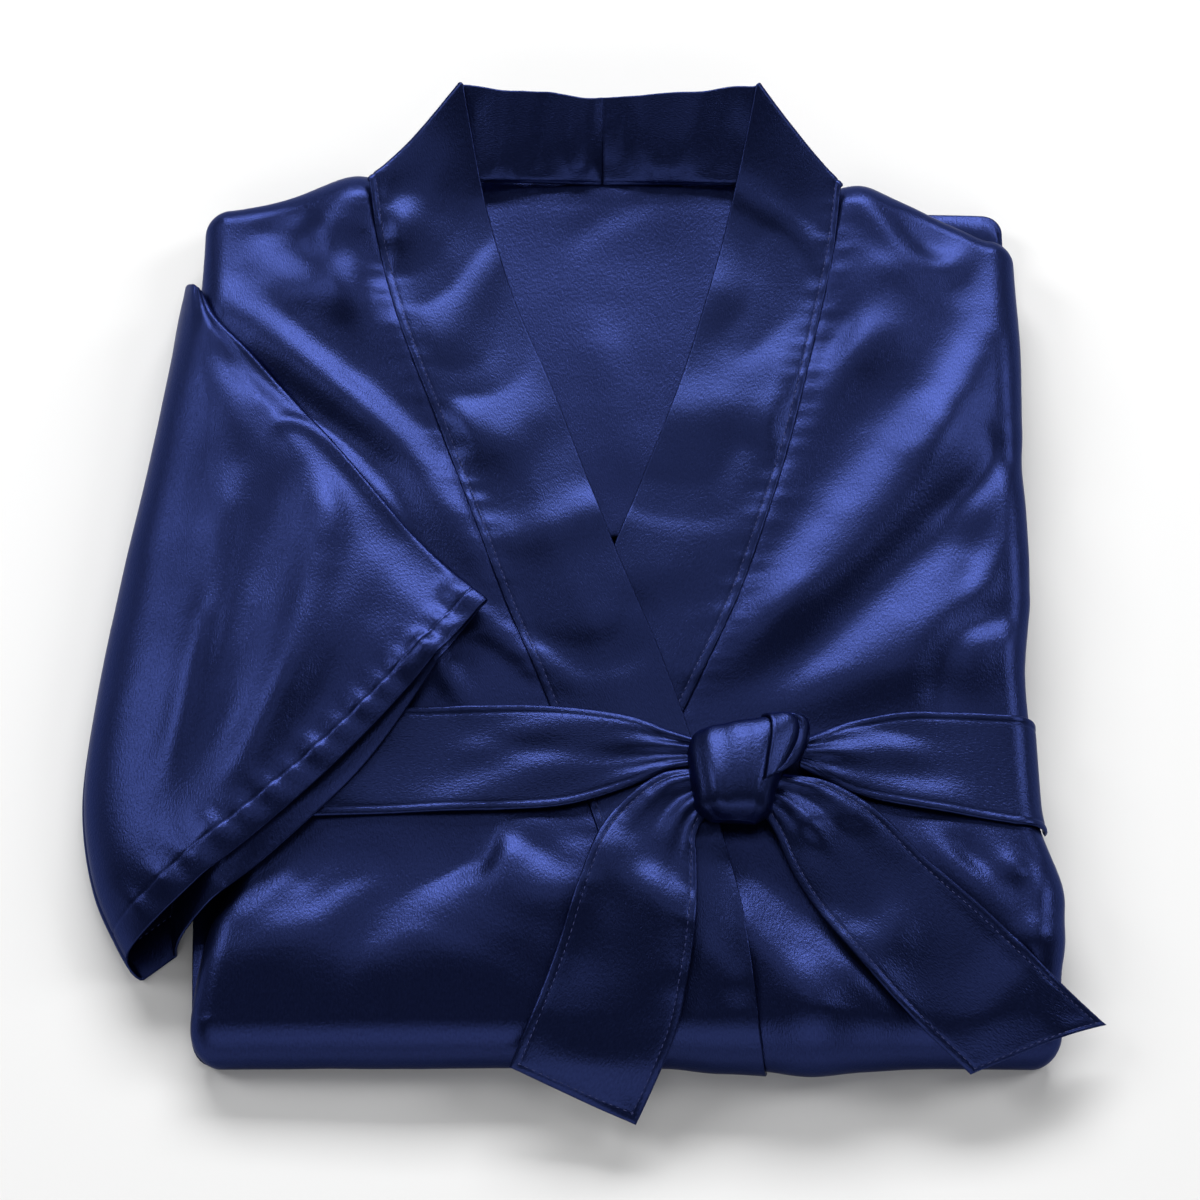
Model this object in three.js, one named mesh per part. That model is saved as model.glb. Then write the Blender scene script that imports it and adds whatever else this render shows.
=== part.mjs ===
// Satin kimono robe, folded into a flat packet with its belt tied in front.
// Millimetres. +Z is up, +Y is the collar end, -Y is the front fold of the skirt.
// Right and left are the wearer's, so the right front lies at -X.
import * as THREE from 'three';

// Cloth
const wall = 1.2; // single cloth
const bandWall = 1.6; // neckband and belt, cloth doubled
const seamGap = 0.3; // between pieces sewn edge to edge
const layerGap = 0.6; // between pieces that lie on each other
const firstLift = 0.3 + wall / 2; // middle of a panel over the hidden layers
const levelStep = wall + layerGap; // rise of a piece that lies on a panel
const bandStep = bandWall + layerGap; // rise of a piece that lies on the neckband or belt

// Folded packet
const backY = 190; // where the shoulder fold starts to roll down
const frontY = -192; // where the front fold of the skirt starts to roll down
const centreX = 6;
const crownHeight = 36.5; // hidden layers at the middle
const sideRoll = { radius: 11, angle: 1.75 };
const frontRoll = { radius: 17, angle: 2.2 };
const beltY = -83;
const beltPinch = { depth: 2.6, reach: 40 };

// Where the top panels start to roll over the sides, and the hidden layers under them
const rightFrontEdge = [
  { y: 190, x: -166 }, { y: 60, x: -166 }, { y: -20, x: -158 }, { y: -58, x: -146 },
  { y: -83, x: -138 }, { y: -108, x: -135 }, { y: -128, x: -140 }, { y: -152, x: -148 },
  { y: -192, x: -156 },
];
const leftFrontEdge = [
  { y: 190, x: 184 }, { y: -10, x: 183 }, { y: -32, x: 178 }, { y: -62, x: 180 },
  { y: -106, x: 181 }, { y: -134, x: 191 }, { y: -165, x: 188 }, { y: -192, x: 188 },
];
const hiddenRightEdge = [{ y: 190, x: -165 }, { y: 60, x: -164 }, { y: -192, x: -159 }];
const hiddenLeftEdge = [{ y: 190, x: 184 }, { y: -60, x: 183 }, { y: -134, x: 187 }, { y: -192, x: 186 }];
const shoulderLine = [
  { x: -166, y: 183 }, { x: -145, y: 186 }, { x: -112, y: 190 }, { x: 128, y: 190 },
  { x: 150, y: 184 }, { x: 184, y: 166 },
];
// Sides of the hidden layers: height as a share of the side, and how far each level steps in
const layerRows = [
  { height: 0, inset: 6 }, { height: 0.07, inset: 2.5 }, { height: 0.2, inset: 0.4 },
  { height: 0.34, inset: 1.8 }, { height: 0.42, inset: 4.6 }, { height: 0.5, inset: 1.8 },
  { height: 0.64, inset: 0.4 }, { height: 0.78, inset: 1.8 }, { height: 0.9, inset: 4.2 },
];
const layerUneven = 0.9; // how far each level wanders in and out
const hiddenClear = 1.5; // of the hidden layers under the rolls of the panels
const hiddenDip = 3; // and under the folds of the panels

// Neckband, from the shoulder fold down: its seam, its free edge and how far each stands up
const rightBandRows = [
  { seamX: -101, seamY: 197, freeX: -58, freeY: 241, seamRise: 3, freeRise: 24 },
  { seamX: -96, seamY: 165, freeX: -48, freeY: 191, seamRise: 0, freeRise: 4 },
  { seamX: -85, seamY: 124, freeX: -35, freeY: 144, seamRise: 0, freeRise: 0 },
  { seamX: -66, seamY: 73, freeX: -16, freeY: 94, seamRise: 0, freeRise: 0 },
  { seamX: -52, seamY: 34, freeX: -2, freeY: 54, seamRise: 0, freeRise: 0 },
  { seamX: -38, seamY: -5, freeX: 12, freeY: 15, seamRise: 0, freeRise: 0 },
  { seamX: -17, seamY: -56, freeX: 33, freeY: -38, seamRise: 0, freeRise: 0 },
  { seamX: 2, seamY: -107, freeX: 51, freeY: -94, seamRise: 0, freeRise: 0 },
  { seamX: 13, seamY: -150, freeX: 64, freeY: -144, seamRise: 0, freeRise: 0 },
  { seamX: 21, seamY: -192, freeX: 71, freeY: -192, seamRise: 0, freeRise: 0 },
];
const leftBandRows = [
  { seamX: 116, seamY: 197, freeX: 77, freeY: 241, seamRise: 3, freeRise: 24 },
  { seamX: 112, seamY: 165, freeX: 66, freeY: 191, seamRise: 0, freeRise: 4 },
  { seamX: 102, seamY: 119, freeX: 54, freeY: 143, seamRise: 0, freeRise: 0 },
  { seamX: 90, seamY: 69, freeX: 39, freeY: 92, seamRise: 0, freeRise: 0 },
  { seamX: 77, seamY: 26, freeX: 23, freeY: 49, seamRise: 0, freeRise: 0 },
  { seamX: 62, seamY: -15, freeX: 12, freeY: 20, seamRise: 0, freeRise: 0 },
  { seamX: 34, seamY: -74, freeX: 5, freeY: 1, seamRise: 0, freeRise: 0 },
];
const bandRollDrift = 5; // sideways run of the neckband round the front fold
const tuckUnder = 13; // how far a piece runs on beneath the neckband
const backPanelEnd = 22; // lowest point of the back that the neckline shows
const collarTop = { y: 236, z: 57 }; // free edge at the centre back
const collarTurn = 1.4; // radius of the fold at the side of the neck
const neckSeam = { y: 203, sag: 5.5, halfWidth: 108, lift: 1.3 };

// Sleeve, from its root to the cuff: its upper fold and its outer edge
const sleeveRows = [
  { foldX: -178, foldY: 148, outX: -187, outY: 157 },
  { foldX: -171, foldY: 131, outX: -192, outY: 116 },
  { foldX: -152, foldY: 110, outX: -200, outY: 62 },
  { foldX: -129, foldY: 83, outX: -209, outY: 8 },
  { foldX: -106, foldY: 55, outX: -216, outY: -46 },
  { foldX: -83, foldY: 26, outX: -219, outY: -92 },
  { foldX: -62, foldY: 3, outX: -212, outY: -132 },
  { foldX: -45, foldY: -13, outX: -197, outY: -163 },
];
const sleeveRings = 17;
const sleeveFoldGap = 2.8; // between the middles of the two layers at the upper fold
const sleeveTable = 1.4; // middle of the lower layer where it lies on the table
const sleeveOuterHeight = 9; // the outer edge above the table
const sleeveDrop = { rootX: -171, cuffX: -163, reach: 22 }; // where it falls to the table
const sleeveClear = 0.4; // over the panel, beyond the gap of other layers
const beltRaise = 3.3; // further rise of the sleeve where it crosses the belt
const cuffBow = 8; // how far the cuff line bows out at its middle
const cuffRaise = 2.5; // how far the corner of the cuff stands off the front

// Belt, wrapped either side of the knot: its two edges and its lift over the packet
const rightWrapRows = [
  { x: -138, upperY: -58, lowerY: -108, lift: 4 }, { x: -81, upperY: -58, lowerY: -106, lift: 3 },
  { x: -34, upperY: -57, lowerY: -105, lift: 3.4 }, { x: -8, upperY: -59, lowerY: -103, lift: 5.2 },
  { x: 18, upperY: -63, lowerY: -95, lift: 5.6 }, { x: 34, upperY: -69, lowerY: -89, lift: 6.4 },
  { x: 49, upperY: -75, lowerY: -86, lift: 8.3 },
];
const leftWrapRows = [
  { x: 90, upperY: -75, lowerY: -87, lift: 8.3 }, { x: 104, upperY: -68, lowerY: -93, lift: 4.6 },
  { x: 118, upperY: -63, lowerY: -99, lift: 3.2 }, { x: 143, upperY: -59, lowerY: -104, lift: 3 },
  { x: 180, upperY: -60, lowerY: -110, lift: 3 },
];
const beltWidth = 48;
const pleatHeight = 1.5; // gathers of the belt where it runs into the knot

// Belt tails, from the knot to their slanted ends
const rightTailRows = [
  { firstX: 51, firstY: -88, secondX: 52, secondY: -107, lift: 9.2 },
  { firstX: 32, firstY: -90, secondX: 46, secondY: -118, lift: 8.9 },
  { firstX: 16, firstY: -101, secondX: 46, secondY: -130, lift: 7.6 },
  { firstX: 5, firstY: -115, secondX: 46, secondY: -143, lift: 6 },
  { firstX: -4, firstY: -138, secondX: 45, secondY: -158, lift: 5.4 },
  { firstX: -12, firstY: -163, secondX: 42, secondY: -178, lift: 5.3 },
  { firstX: -22, firstY: -190, secondX: 36, secondY: -203, lift: 5 },
  { firstX: -33, firstY: -214, secondX: 20, secondY: -236, lift: 4.6 },
];
const leftTailRows = [
  { firstX: 71, firstY: -104, secondX: 84, secondY: -91, lift: 9.2 },
  { firstX: 79, firstY: -117, secondX: 103, secondY: -94, lift: 8.6 },
  { firstX: 87, firstY: -135, secondX: 124, secondY: -107, lift: 6.2 },
  { firstX: 101, firstY: -156, secondX: 144, secondY: -127, lift: 3.8 },
  { firstX: 121, firstY: -180, secondX: 171, secondY: -152, lift: 3.1 },
  { firstX: 141, firstY: -200, secondX: 195, secondY: -176, lift: 3.1 },
  { firstX: 160, firstY: -216, secondX: 219, secondY: -193, lift: 3.1 },
];
const tailDroop = 40; // radius of the curve in which a tail leaves the packet

// Knot, from its upper to its lower end
const knotRows = [
  { y: -71, left: 57, right: 87, height: 4 }, { y: -74, left: 47, right: 94, height: 10 },
  { y: -83, left: 43, right: 94, height: 14 }, { y: -94, left: 44, right: 87, height: 14.5 },
  { y: -105, left: 46, right: 80, height: 13.5 }, { y: -114, left: 49, right: 76, height: 10 },
  { y: -118, left: 55, right: 70, height: 4 },
];
const knotLift = 10.4;
const knotRim = 0.8; // half thickness of the knot where the belt runs in below it
const knotDepth = 5; // how far the middle of the knot reaches down between the belt ends
const knotPleats = 3;

// Folds of the top panels: three points along each, its half width and its height
const panelFolds = [
  { ax: -159, ay: 145, bx: -117, by: 104, cx: -52, cy: 25, width: 11, height: 3.6 },
  { ax: -132, ay: 158, bx: -96, by: 108, cx: -64, cy: 52, width: 9, height: -1.6 },
  { ax: -132, ay: 90, bx: -112, by: 72, cx: -93, cy: 45, width: 6, height: 2 },
  { ax: -62, ay: -38, bx: -36, by: -29, cx: -14, cy: -56, width: 6, height: 2.4 },
  { ax: -104, ay: 186, bx: -121, by: 173, cx: -140, cy: 156, width: 5, height: 2.4 },
  { ax: -101, ay: 182, bx: -112, by: 158, cx: -115, cy: 128, width: 5, height: 2 },
  { ax: -112, ay: 193, bx: -133, by: 186, cx: -158, cy: 174, width: 6, height: 1.8 },
  { ax: 183, ay: 158, bx: 146, by: 69, cx: 66, cy: -30, width: 13, height: 3.4 },
  { ax: 190, ay: 0, bx: 153, by: -18, cx: 110, cy: -52, width: 9, height: 2.6 },
  { ax: 150, ay: 100, bx: 130, by: 54, cx: 92, cy: 8, width: 8, height: -1.4 },
  { ax: 119, ay: 190, bx: 140, by: 157, cx: 184, cy: 176, width: 6, height: 2.2 },
  { ax: 117, ay: 184, bx: 128, by: 155, cx: 121, cy: 115, width: 5, height: 1.8 },
  { ax: 185, ay: 56, bx: 175, by: 30, cx: 152, cy: -2, width: 8, height: 1.8 },
  { ax: -100, ay: -104, bx: -137, by: -132, cx: -158, cy: -160, width: 7, height: 3 },
  { ax: -68, ay: -103, bx: -97, by: -124, cx: -122, cy: -150, width: 7, height: 2.4 },
  { ax: -42, ay: -103, bx: -25, by: -124, cx: -12, cy: -143, width: 6, height: 2 },
  { ax: -110, ay: -150, bx: -71, by: -138, cx: -24, cy: -141, width: 15, height: 2 },
  { ax: 62, ay: -128, bx: 79, by: -155, cx: 89, cy: -185, width: 6, height: 1.8 },
  { ax: 133, ay: -104, bx: 158, by: -121, cx: 180, cy: -138, width: 8, height: 2.4 },
  { ax: 170, ay: -112, bx: 190, by: -133, cx: 196, cy: -162, width: 7, height: 1.6 },
];
const sleeveFolds = [
  { ax: -166, ay: 128, bx: -150, by: 64, cx: -184, cy: -30, width: 13, height: 3.4 },
  { ax: -184, ay: -26, bx: -190, by: -74, cx: -176, cy: -112, width: 10, height: 3 },
  { ax: -146, ay: 58, bx: -121, by: 8, cx: -150, cy: -94, width: 14, height: 3.6 },
  { ax: -118, ay: 52, bx: -88, by: 23, cx: -62, cy: -4, width: 9, height: 1.8 },
];
// Strips where the belt and its tails press the folds flat
const pressedStrips = [
  { ax: -180, ay: -83, bx: 200, by: -84, halfWidth: 28, fade: 14 },
  { ax: 45, ay: -95, bx: 2, by: -230, halfWidth: 28, fade: 12 },
  { ax: 80, ay: -95, bx: 195, by: -210, halfWidth: 28, fade: 12 },
];

const lerp = THREE.MathUtils.lerp;
const clamp = THREE.MathUtils.clamp;
const smooth = (from, to, value) => THREE.MathUtils.smoothstep(value, from, to);

// Straight-line reading of a table with one column taken as the position
function readTable(table, key, at, column) {
  const rising = table[0][key] < table[table.length - 1][key];
  const rows = rising ? table : [...table].reverse();
  if (at <= rows[0][key]) return rows[0][column];
  for (let i = 1; i < rows.length; i++) {
    if (at > rows[i][key]) continue;
    const share = (at - rows[i - 1][key]) / (rows[i][key] - rows[i - 1][key]);
    return lerp(rows[i - 1][column], rows[i][column], share);
  }
  return rows[rows.length - 1][column];
}

// Smooth reading of every column at a share of the way down the table
function rowAt(table, share) {
  const place = clamp(share, 0, 1) * (table.length - 1);
  const i = Math.min(Math.floor(place), table.length - 2);
  const t = place - i;
  const before = table[Math.max(i - 1, 0)];
  const after = table[Math.min(i + 2, table.length - 1)];
  const row = {};
  for (const column of Object.keys(table[0])) {
    const start = table[i][column];
    const end = table[i + 1][column];
    const startSlope = (end - before[column]) / 2;
    const endSlope = (after[column] - start) / 2;
    row[column] = start + t * startSlope
      + t * t * (3 * (end - start) - 2 * startSlope - endSlope)
      + t * t * t * (2 * (start - end) + startSlope + endSlope);
  }
  return row;
}

// Height of the hidden layers, drawn in a little under the belt
function crown(x, y) {
  const across = Math.min(Math.abs(x - centreX) / 180, 1.05);
  const along = Math.min(Math.abs(y) / 192, 1);
  const pinch = beltPinch.depth * Math.exp(-(((y - beltY) / beltPinch.reach) ** 2));
  return crownHeight - 3.5 * across ** 3 - 3.5 * along ** 3 - pinch;
}

// Nearest place on a bent line: how far off it is and how far along
function nearLine(points, x, y) {
  let best = { distance: Infinity, along: 0 };
  for (let i = 0; i < points.length - 1; i++) {
    const [ax, ay] = points[i];
    const [bx, by] = points[i + 1];
    const length = (bx - ax) ** 2 + (by - ay) ** 2;
    const t = clamp(((x - ax) * (bx - ax) + (y - ay) * (by - ay)) / length, 0, 1);
    const distance = Math.hypot(x - lerp(ax, bx, t), y - lerp(ay, by, t));
    if (distance < best.distance) best = { distance, along: (i + t) / (points.length - 1) };
  }
  return best;
}

function curveThrough(fold, steps = 8) {
  const controlX = 2 * fold.bx - (fold.ax + fold.cx) / 2;
  const controlY = 2 * fold.by - (fold.ay + fold.cy) / 2;
  return Array.from({ length: steps + 1 }, (_, i) => {
    const t = i / steps;
    const ends = (a, c) => (1 - t) ** 2 * a + t * t * c;
    return [
      ends(fold.ax, fold.cx) + 2 * t * (1 - t) * controlX,
      ends(fold.ay, fold.cy) + 2 * t * (1 - t) * controlY,
    ];
  });
}

function foldsOf(table) {
  const lines = table.map((fold) => ({ ...fold, points: curveThrough(fold) }));
  return (x, y) => lines.reduce((sum, fold) => {
    const { distance, along } = nearLine(fold.points, x, y);
    const fade = smooth(0, 0.18, along) * (1 - smooth(0.82, 1, along));
    return sum + fold.height * fade * Math.exp(-((distance / fold.width) ** 2));
  }, 0);
}

const panelFoldHeight = foldsOf(panelFolds);
const sleeveFoldHeight = foldsOf(sleeveFolds);

function foldLift(x, y) {
  const free = pressedStrips.reduce((share, strip) => {
    const { distance } = nearLine([[strip.ax, strip.ay], [strip.bx, strip.by]], x, y);
    return share * smooth(strip.halfWidth, strip.halfWidth + strip.fade, distance);
  }, 1);
  return free * panelFoldHeight(x, y);
}

// A point at a lift over the packet. rollX and rollY run from 0 on top to 1 or -1 at the
// end of the roll over a side, the back or the front.
function onPacket(x, y, lift, rollX = 0, rollY = 0) {
  const base = crown(x, y);
  const far = Math.max(Math.abs(rollX), Math.abs(rollY));
  if (far === 0) return new THREE.Vector3(x, y, base + lift);
  const length = Math.hypot(rollX, rollY);
  const outX = rollX / length;
  const outY = rollY / length;
  const front = rollY < 0 ? outY * outY : 0;
  const radius = lerp(sideRoll.radius, frontRoll.radius, front);
  const angle = far * lerp(sideRoll.angle, frontRoll.angle, front);
  const reach = (radius + lift) * Math.sin(angle);
  return new THREE.Vector3(
    x + outX * reach,
    y + outY * reach,
    base - radius + (radius + lift) * Math.cos(angle),
  );
}

// Surface direction at a grid point, from its neighbours
function normalAt(grid, i, j, closed = false) {
  const rows = grid.length;
  const columns = grid[0].length;
  const next = closed ? (j + 1) % columns : Math.min(j + 1, columns - 1);
  const last = closed ? (j + columns - 1) % columns : Math.max(j - 1, 0);
  const down = grid[Math.min(i + 1, rows - 1)][j].clone().sub(grid[Math.max(i - 1, 0)][j]);
  const across = grid[i][next].clone().sub(grid[i][last]);
  return down.cross(across).normalize();
}

function geometryOf(points, faces) {
  const geometry = new THREE.BufferGeometry().setFromPoints(points);
  geometry.setIndex(faces.flat());
  geometry.computeVertexNormals();
  return geometry;
}

// Both faces of a sheet at half its thickness from its middle, in one point list
function sheetPoints(grid, thickness, closed = false) {
  const face = (side) => grid.flatMap((row, i) => row.map((point, j) => point.clone()
    .addScaledVector(normalAt(grid, i, j, closed), side * thickness / 2)));
  return [...face(1), ...face(-1)];
}

// Sheet of cloth with thickness from a grid of its middle points
function clothWall(grid, thickness) {
  const rows = grid.length;
  const columns = grid[0].length;
  const under = rows * columns;
  const at = (i, j, side = 0) => side * under + i * columns + j;
  const faces = [];
  const quad = (a, b, c, d) => faces.push([a, b, c], [a, c, d]);
  for (let i = 0; i < rows - 1; i++) {
    for (let j = 0; j < columns - 1; j++) {
      quad(at(i, j), at(i + 1, j), at(i + 1, j + 1), at(i, j + 1));
      quad(at(i, j, 1), at(i, j + 1, 1), at(i + 1, j + 1, 1), at(i + 1, j, 1));
    }
    quad(at(i, 0), at(i, 0, 1), at(i + 1, 0, 1), at(i + 1, 0));
    const edge = columns - 1;
    quad(at(i + 1, edge), at(i + 1, edge, 1), at(i, edge, 1), at(i, edge));
  }
  for (let j = 0; j < columns - 1; j++) {
    quad(at(0, j + 1), at(0, j + 1, 1), at(0, j, 1), at(0, j));
    const end = rows - 1;
    quad(at(end, j), at(end, j, 1), at(end, j + 1, 1), at(end, j + 1));
  }
  return geometryOf(sheetPoints(grid, thickness), faces);
}

const centreOf = (ring) => ring.reduce((sum, point) => sum.add(point), new THREE.Vector3())
  .divideScalar(ring.length);

// Solid through a stack of rings, closed by a fan at either end
function ringSolid(rings) {
  const count = rings[0].length;
  const points = [...rings.flat(), centreOf(rings[0]), centreOf(rings[rings.length - 1])];
  const first = rings.length * count;
  const faces = [];
  for (let j = 0; j < count; j++) {
    const next = (j + 1) % count;
    for (let i = 0; i < rings.length - 1; i++) {
      const low = i * count;
      const high = low + count;
      faces.push([low + j, low + next, high + next], [low + j, high + next, high + j]);
    }
    const top = first - count;
    faces.push([first, next, j], [first + 1, top + j, top + next]);
  }
  return geometryOf(points, faces);
}

// Tube of cloth from rings of its middle points, closed at the first ring, open at the last
function openTube(rings, thickness) {
  const count = rings[0].length;
  const inside = rings.length * count;
  const points = sheetPoints(rings, thickness, true);
  const outerCap = points.length;
  points.push(centreOf(points.slice(0, count)));
  points.push(centreOf(points.slice(inside, inside + count)).lerp(centreOf(rings[1]), 0.25));
  const faces = [];
  const quad = (a, b, c, d) => faces.push([a, b, c], [a, c, d]);
  for (let j = 0; j < count; j++) {
    const next = (j + 1) % count;
    for (let i = 0; i < rings.length - 1; i++) {
      const near = i * count;
      const far = near + count;
      quad(near + j, far + j, far + next, near + next);
      quad(inside + near + j, inside + near + next, inside + far + next, inside + far + j);
    }
    const cuff = inside - count;
    quad(cuff + j, inside + cuff + j, inside + cuff + next, cuff + next);
    faces.push([outerCap, j, next], [outerCap + 1, inside + next, inside + j]);
  }
  return geometryOf(points, faces);
}

// Shares of a roll and of a flat stretch, in order
const rollSteps = (count) => Array.from({ length: count }, (_, i) => (count - i) / count);
const evenSteps = (count) => Array.from({ length: count + 1 }, (_, i) => i / count);

const sideRollSteps = 4;
const backSteps = 7;
const frontRollSteps = 6;
const bandStations = 20;
const bandColumns = 4;
const panelColumns = 10;

// Neckband seam read at the same places for the band and for the panel sewn to it
const stationsOf = (rows, count) => evenSteps(count).map((share) => rowAt(rows, share));

// Rise of the neckband over what runs on beneath its free edge
function bandLevel(side, y, across) {
  const overBack = smooth(0.12, 0.6, across);
  if (side > 0) return overBack * levelStep * smooth(-15, 8, y);
  const overCrossing = smooth(-40, -14, y) * (1 - smooth(38, 75, y));
  return overBack * (bandStep + levelStep * overCrossing);
}

function bandPoint(side, row, across, rollY = 0) {
  const x = lerp(row.seamX, row.freeX, across) + bandRollDrift * Math.abs(rollY);
  const y = lerp(row.seamY, row.freeY, across);
  const rise = lerp(row.seamRise, row.freeRise, across ** 1.3);
  const lift = firstLift + bandWall / 2 - wall / 2 + bandLevel(side, y, across)
    + foldLift(x, y) * (1 - 0.6 * across) + rise;
  return onPacket(x, y, lift, 0, rollY);
}

// Where the neckband is sewn to the back of the neck
const neckSeamY = (x) => neckSeam.y
  - neckSeam.sag * (Math.abs(x - centreX) / neckSeam.halfWidth) ** 2.5;

// Half of the neckband: centre back, fold at the side of the neck, then down the front
function neckband(side, rows, rollCount) {
  const front = stationsOf(rows, bandStations).map((row) => evenSteps(bandColumns)
    .map((across) => bandPoint(side, row, across)));
  const lastRow = rows[rows.length - 1];
  for (let i = 1; i <= rollCount; i++) {
    front.push(evenSteps(bandColumns)
      .map((across) => bandPoint(side, lastRow, across, -i / rollCount)));
  }

  const foldLine = front[0][bandColumns].clone().sub(front[0][0]).normalize();
  const turns = 5;
  const turn = Array.from({ length: turns }, () => []);
  const behind = [];
  for (let j = 0; j <= bandColumns; j++) {
    const start = front[0][j];
    const outward = start.clone().sub(front[1][j]);
    outward.addScaledVector(foldLine, -outward.dot(foldLine)).normalize();
    const upward = outward.clone().cross(foldLine).multiplyScalar(side).normalize();
    const turned = (angle) => start.clone()
      .addScaledVector(outward, collarTurn * Math.sin(angle))
      .addScaledVector(upward, -collarTurn * (1 - Math.cos(angle)));
    for (let i = 0; i < turns; i++) turn[i].push(turned(Math.PI * (i + 1) / (turns + 1)));
    behind.push(turned(Math.PI));
  }

  const centre = centreX + side * seamGap / 2;
  const seamZ = crown(centreX, backY) + neckSeam.lift;
  const back = evenSteps(backSteps).slice(1).map((share) => behind.map((start, j) => {
    const across = j / bandColumns;
    const x = lerp(start.x, centre, share);
    const seamY = lerp(start.y, neckSeamY(x), smooth(0, 0.4, share));
    const y = j === 0 ? seamY : lerp(start.y, lerp(neckSeamY(x), collarTop.y, across), share);
    return new THREE.Vector3(x, y, lerp(start.z, lerp(seamZ, collarTop.z, across), share));
  }));
  return clothWall([...back.reverse(), behind, ...turn.reverse(), ...front], bandWall);
}

// Front panel from its side fold to its inner edge, rolled over the side, back and front
function frontPanel(side, sideEdge, innerEdge) {
  const stations = innerEdge.map((row) => row.y);
  const columns = [
    ...rollSteps(sideRollSteps).map((roll) => ({ roll, across: 0 })),
    ...evenSteps(panelColumns).map((across) => ({ roll: 0, across })),
  ];
  const rows = [
    ...rollSteps(sideRollSteps).map((roll) => ({ roll, y: backY })),
    ...stations.map((y) => ({ roll: 0, y })),
    ...rollSteps(frontRollSteps).reverse().map((roll) => ({ roll: -roll, y: frontY })),
  ];
  return clothWall(rows.map((row) => columns.map((column) => {
    const edgeX = readTable(sideEdge, 'y', row.y, 'x');
    const innerX = readTable(innerEdge, 'y', row.y, 'x') - bandRollDrift * Math.min(row.roll, 0);
    const x = lerp(edgeX, innerX, column.across);
    const slope = readTable(shoulderLine, 'x', x, 'y') - backY;
    const y = row.y + slope * smooth(110, backY, row.y);
    const level = firstLift + foldLift(x, y) * (1 - 0.5 * Math.abs(row.roll));
    return onPacket(x, y, level, side * column.roll, row.roll);
  })), wall);
}

// Inner edge of a front panel: the neckband seam, then a line tucked beneath the neckband
function seamEdge(side, rows) {
  const seam = stationsOf(rows, bandStations)
    .filter((row) => row.seamY < backY - 4 && row.seamY >= frontY)
    .map((row) => ({ x: row.seamX + side * seamGap * 1.2, y: row.seamY }));
  const shoulderX = readTable(rows, 'seamY', backY, 'seamX') + side * seamGap * 1.2;
  return [{ x: shoulderX, y: backY }, ...seam];
}

function tuckedEdge(fromY, toY, steps) {
  return evenSteps(steps).map((share) => {
    const y = lerp(fromY, toY, share);
    return { x: readTable(rightBandRows, 'freeY', y, 'freeX') - tuckUnder, y };
  });
}

// Back panel, seen inside the neckline
function backPanel() {
  const rows = evenSteps(14).map((share) => lerp(neckSeam.y, backPanelEnd, share));
  return clothWall(rows.map((rowY) => evenSteps(8).map((across) => {
    const besideY = Math.min(rowY, backY);
    const from = readTable(rightBandRows, 'freeY', besideY, 'freeX') - tuckUnder;
    const to = readTable(leftBandRows, 'freeY', besideY, 'freeX') + tuckUnder;
    const x = lerp(from, to, across);
    const top = neckSeamY(x) - seamGap - bandWall / 2;
    const y = rowY === neckSeam.y ? top : Math.min(rowY, top);
    return onPacket(x, y, firstLift + foldLift(x, y));
  })), wall);
}

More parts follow.
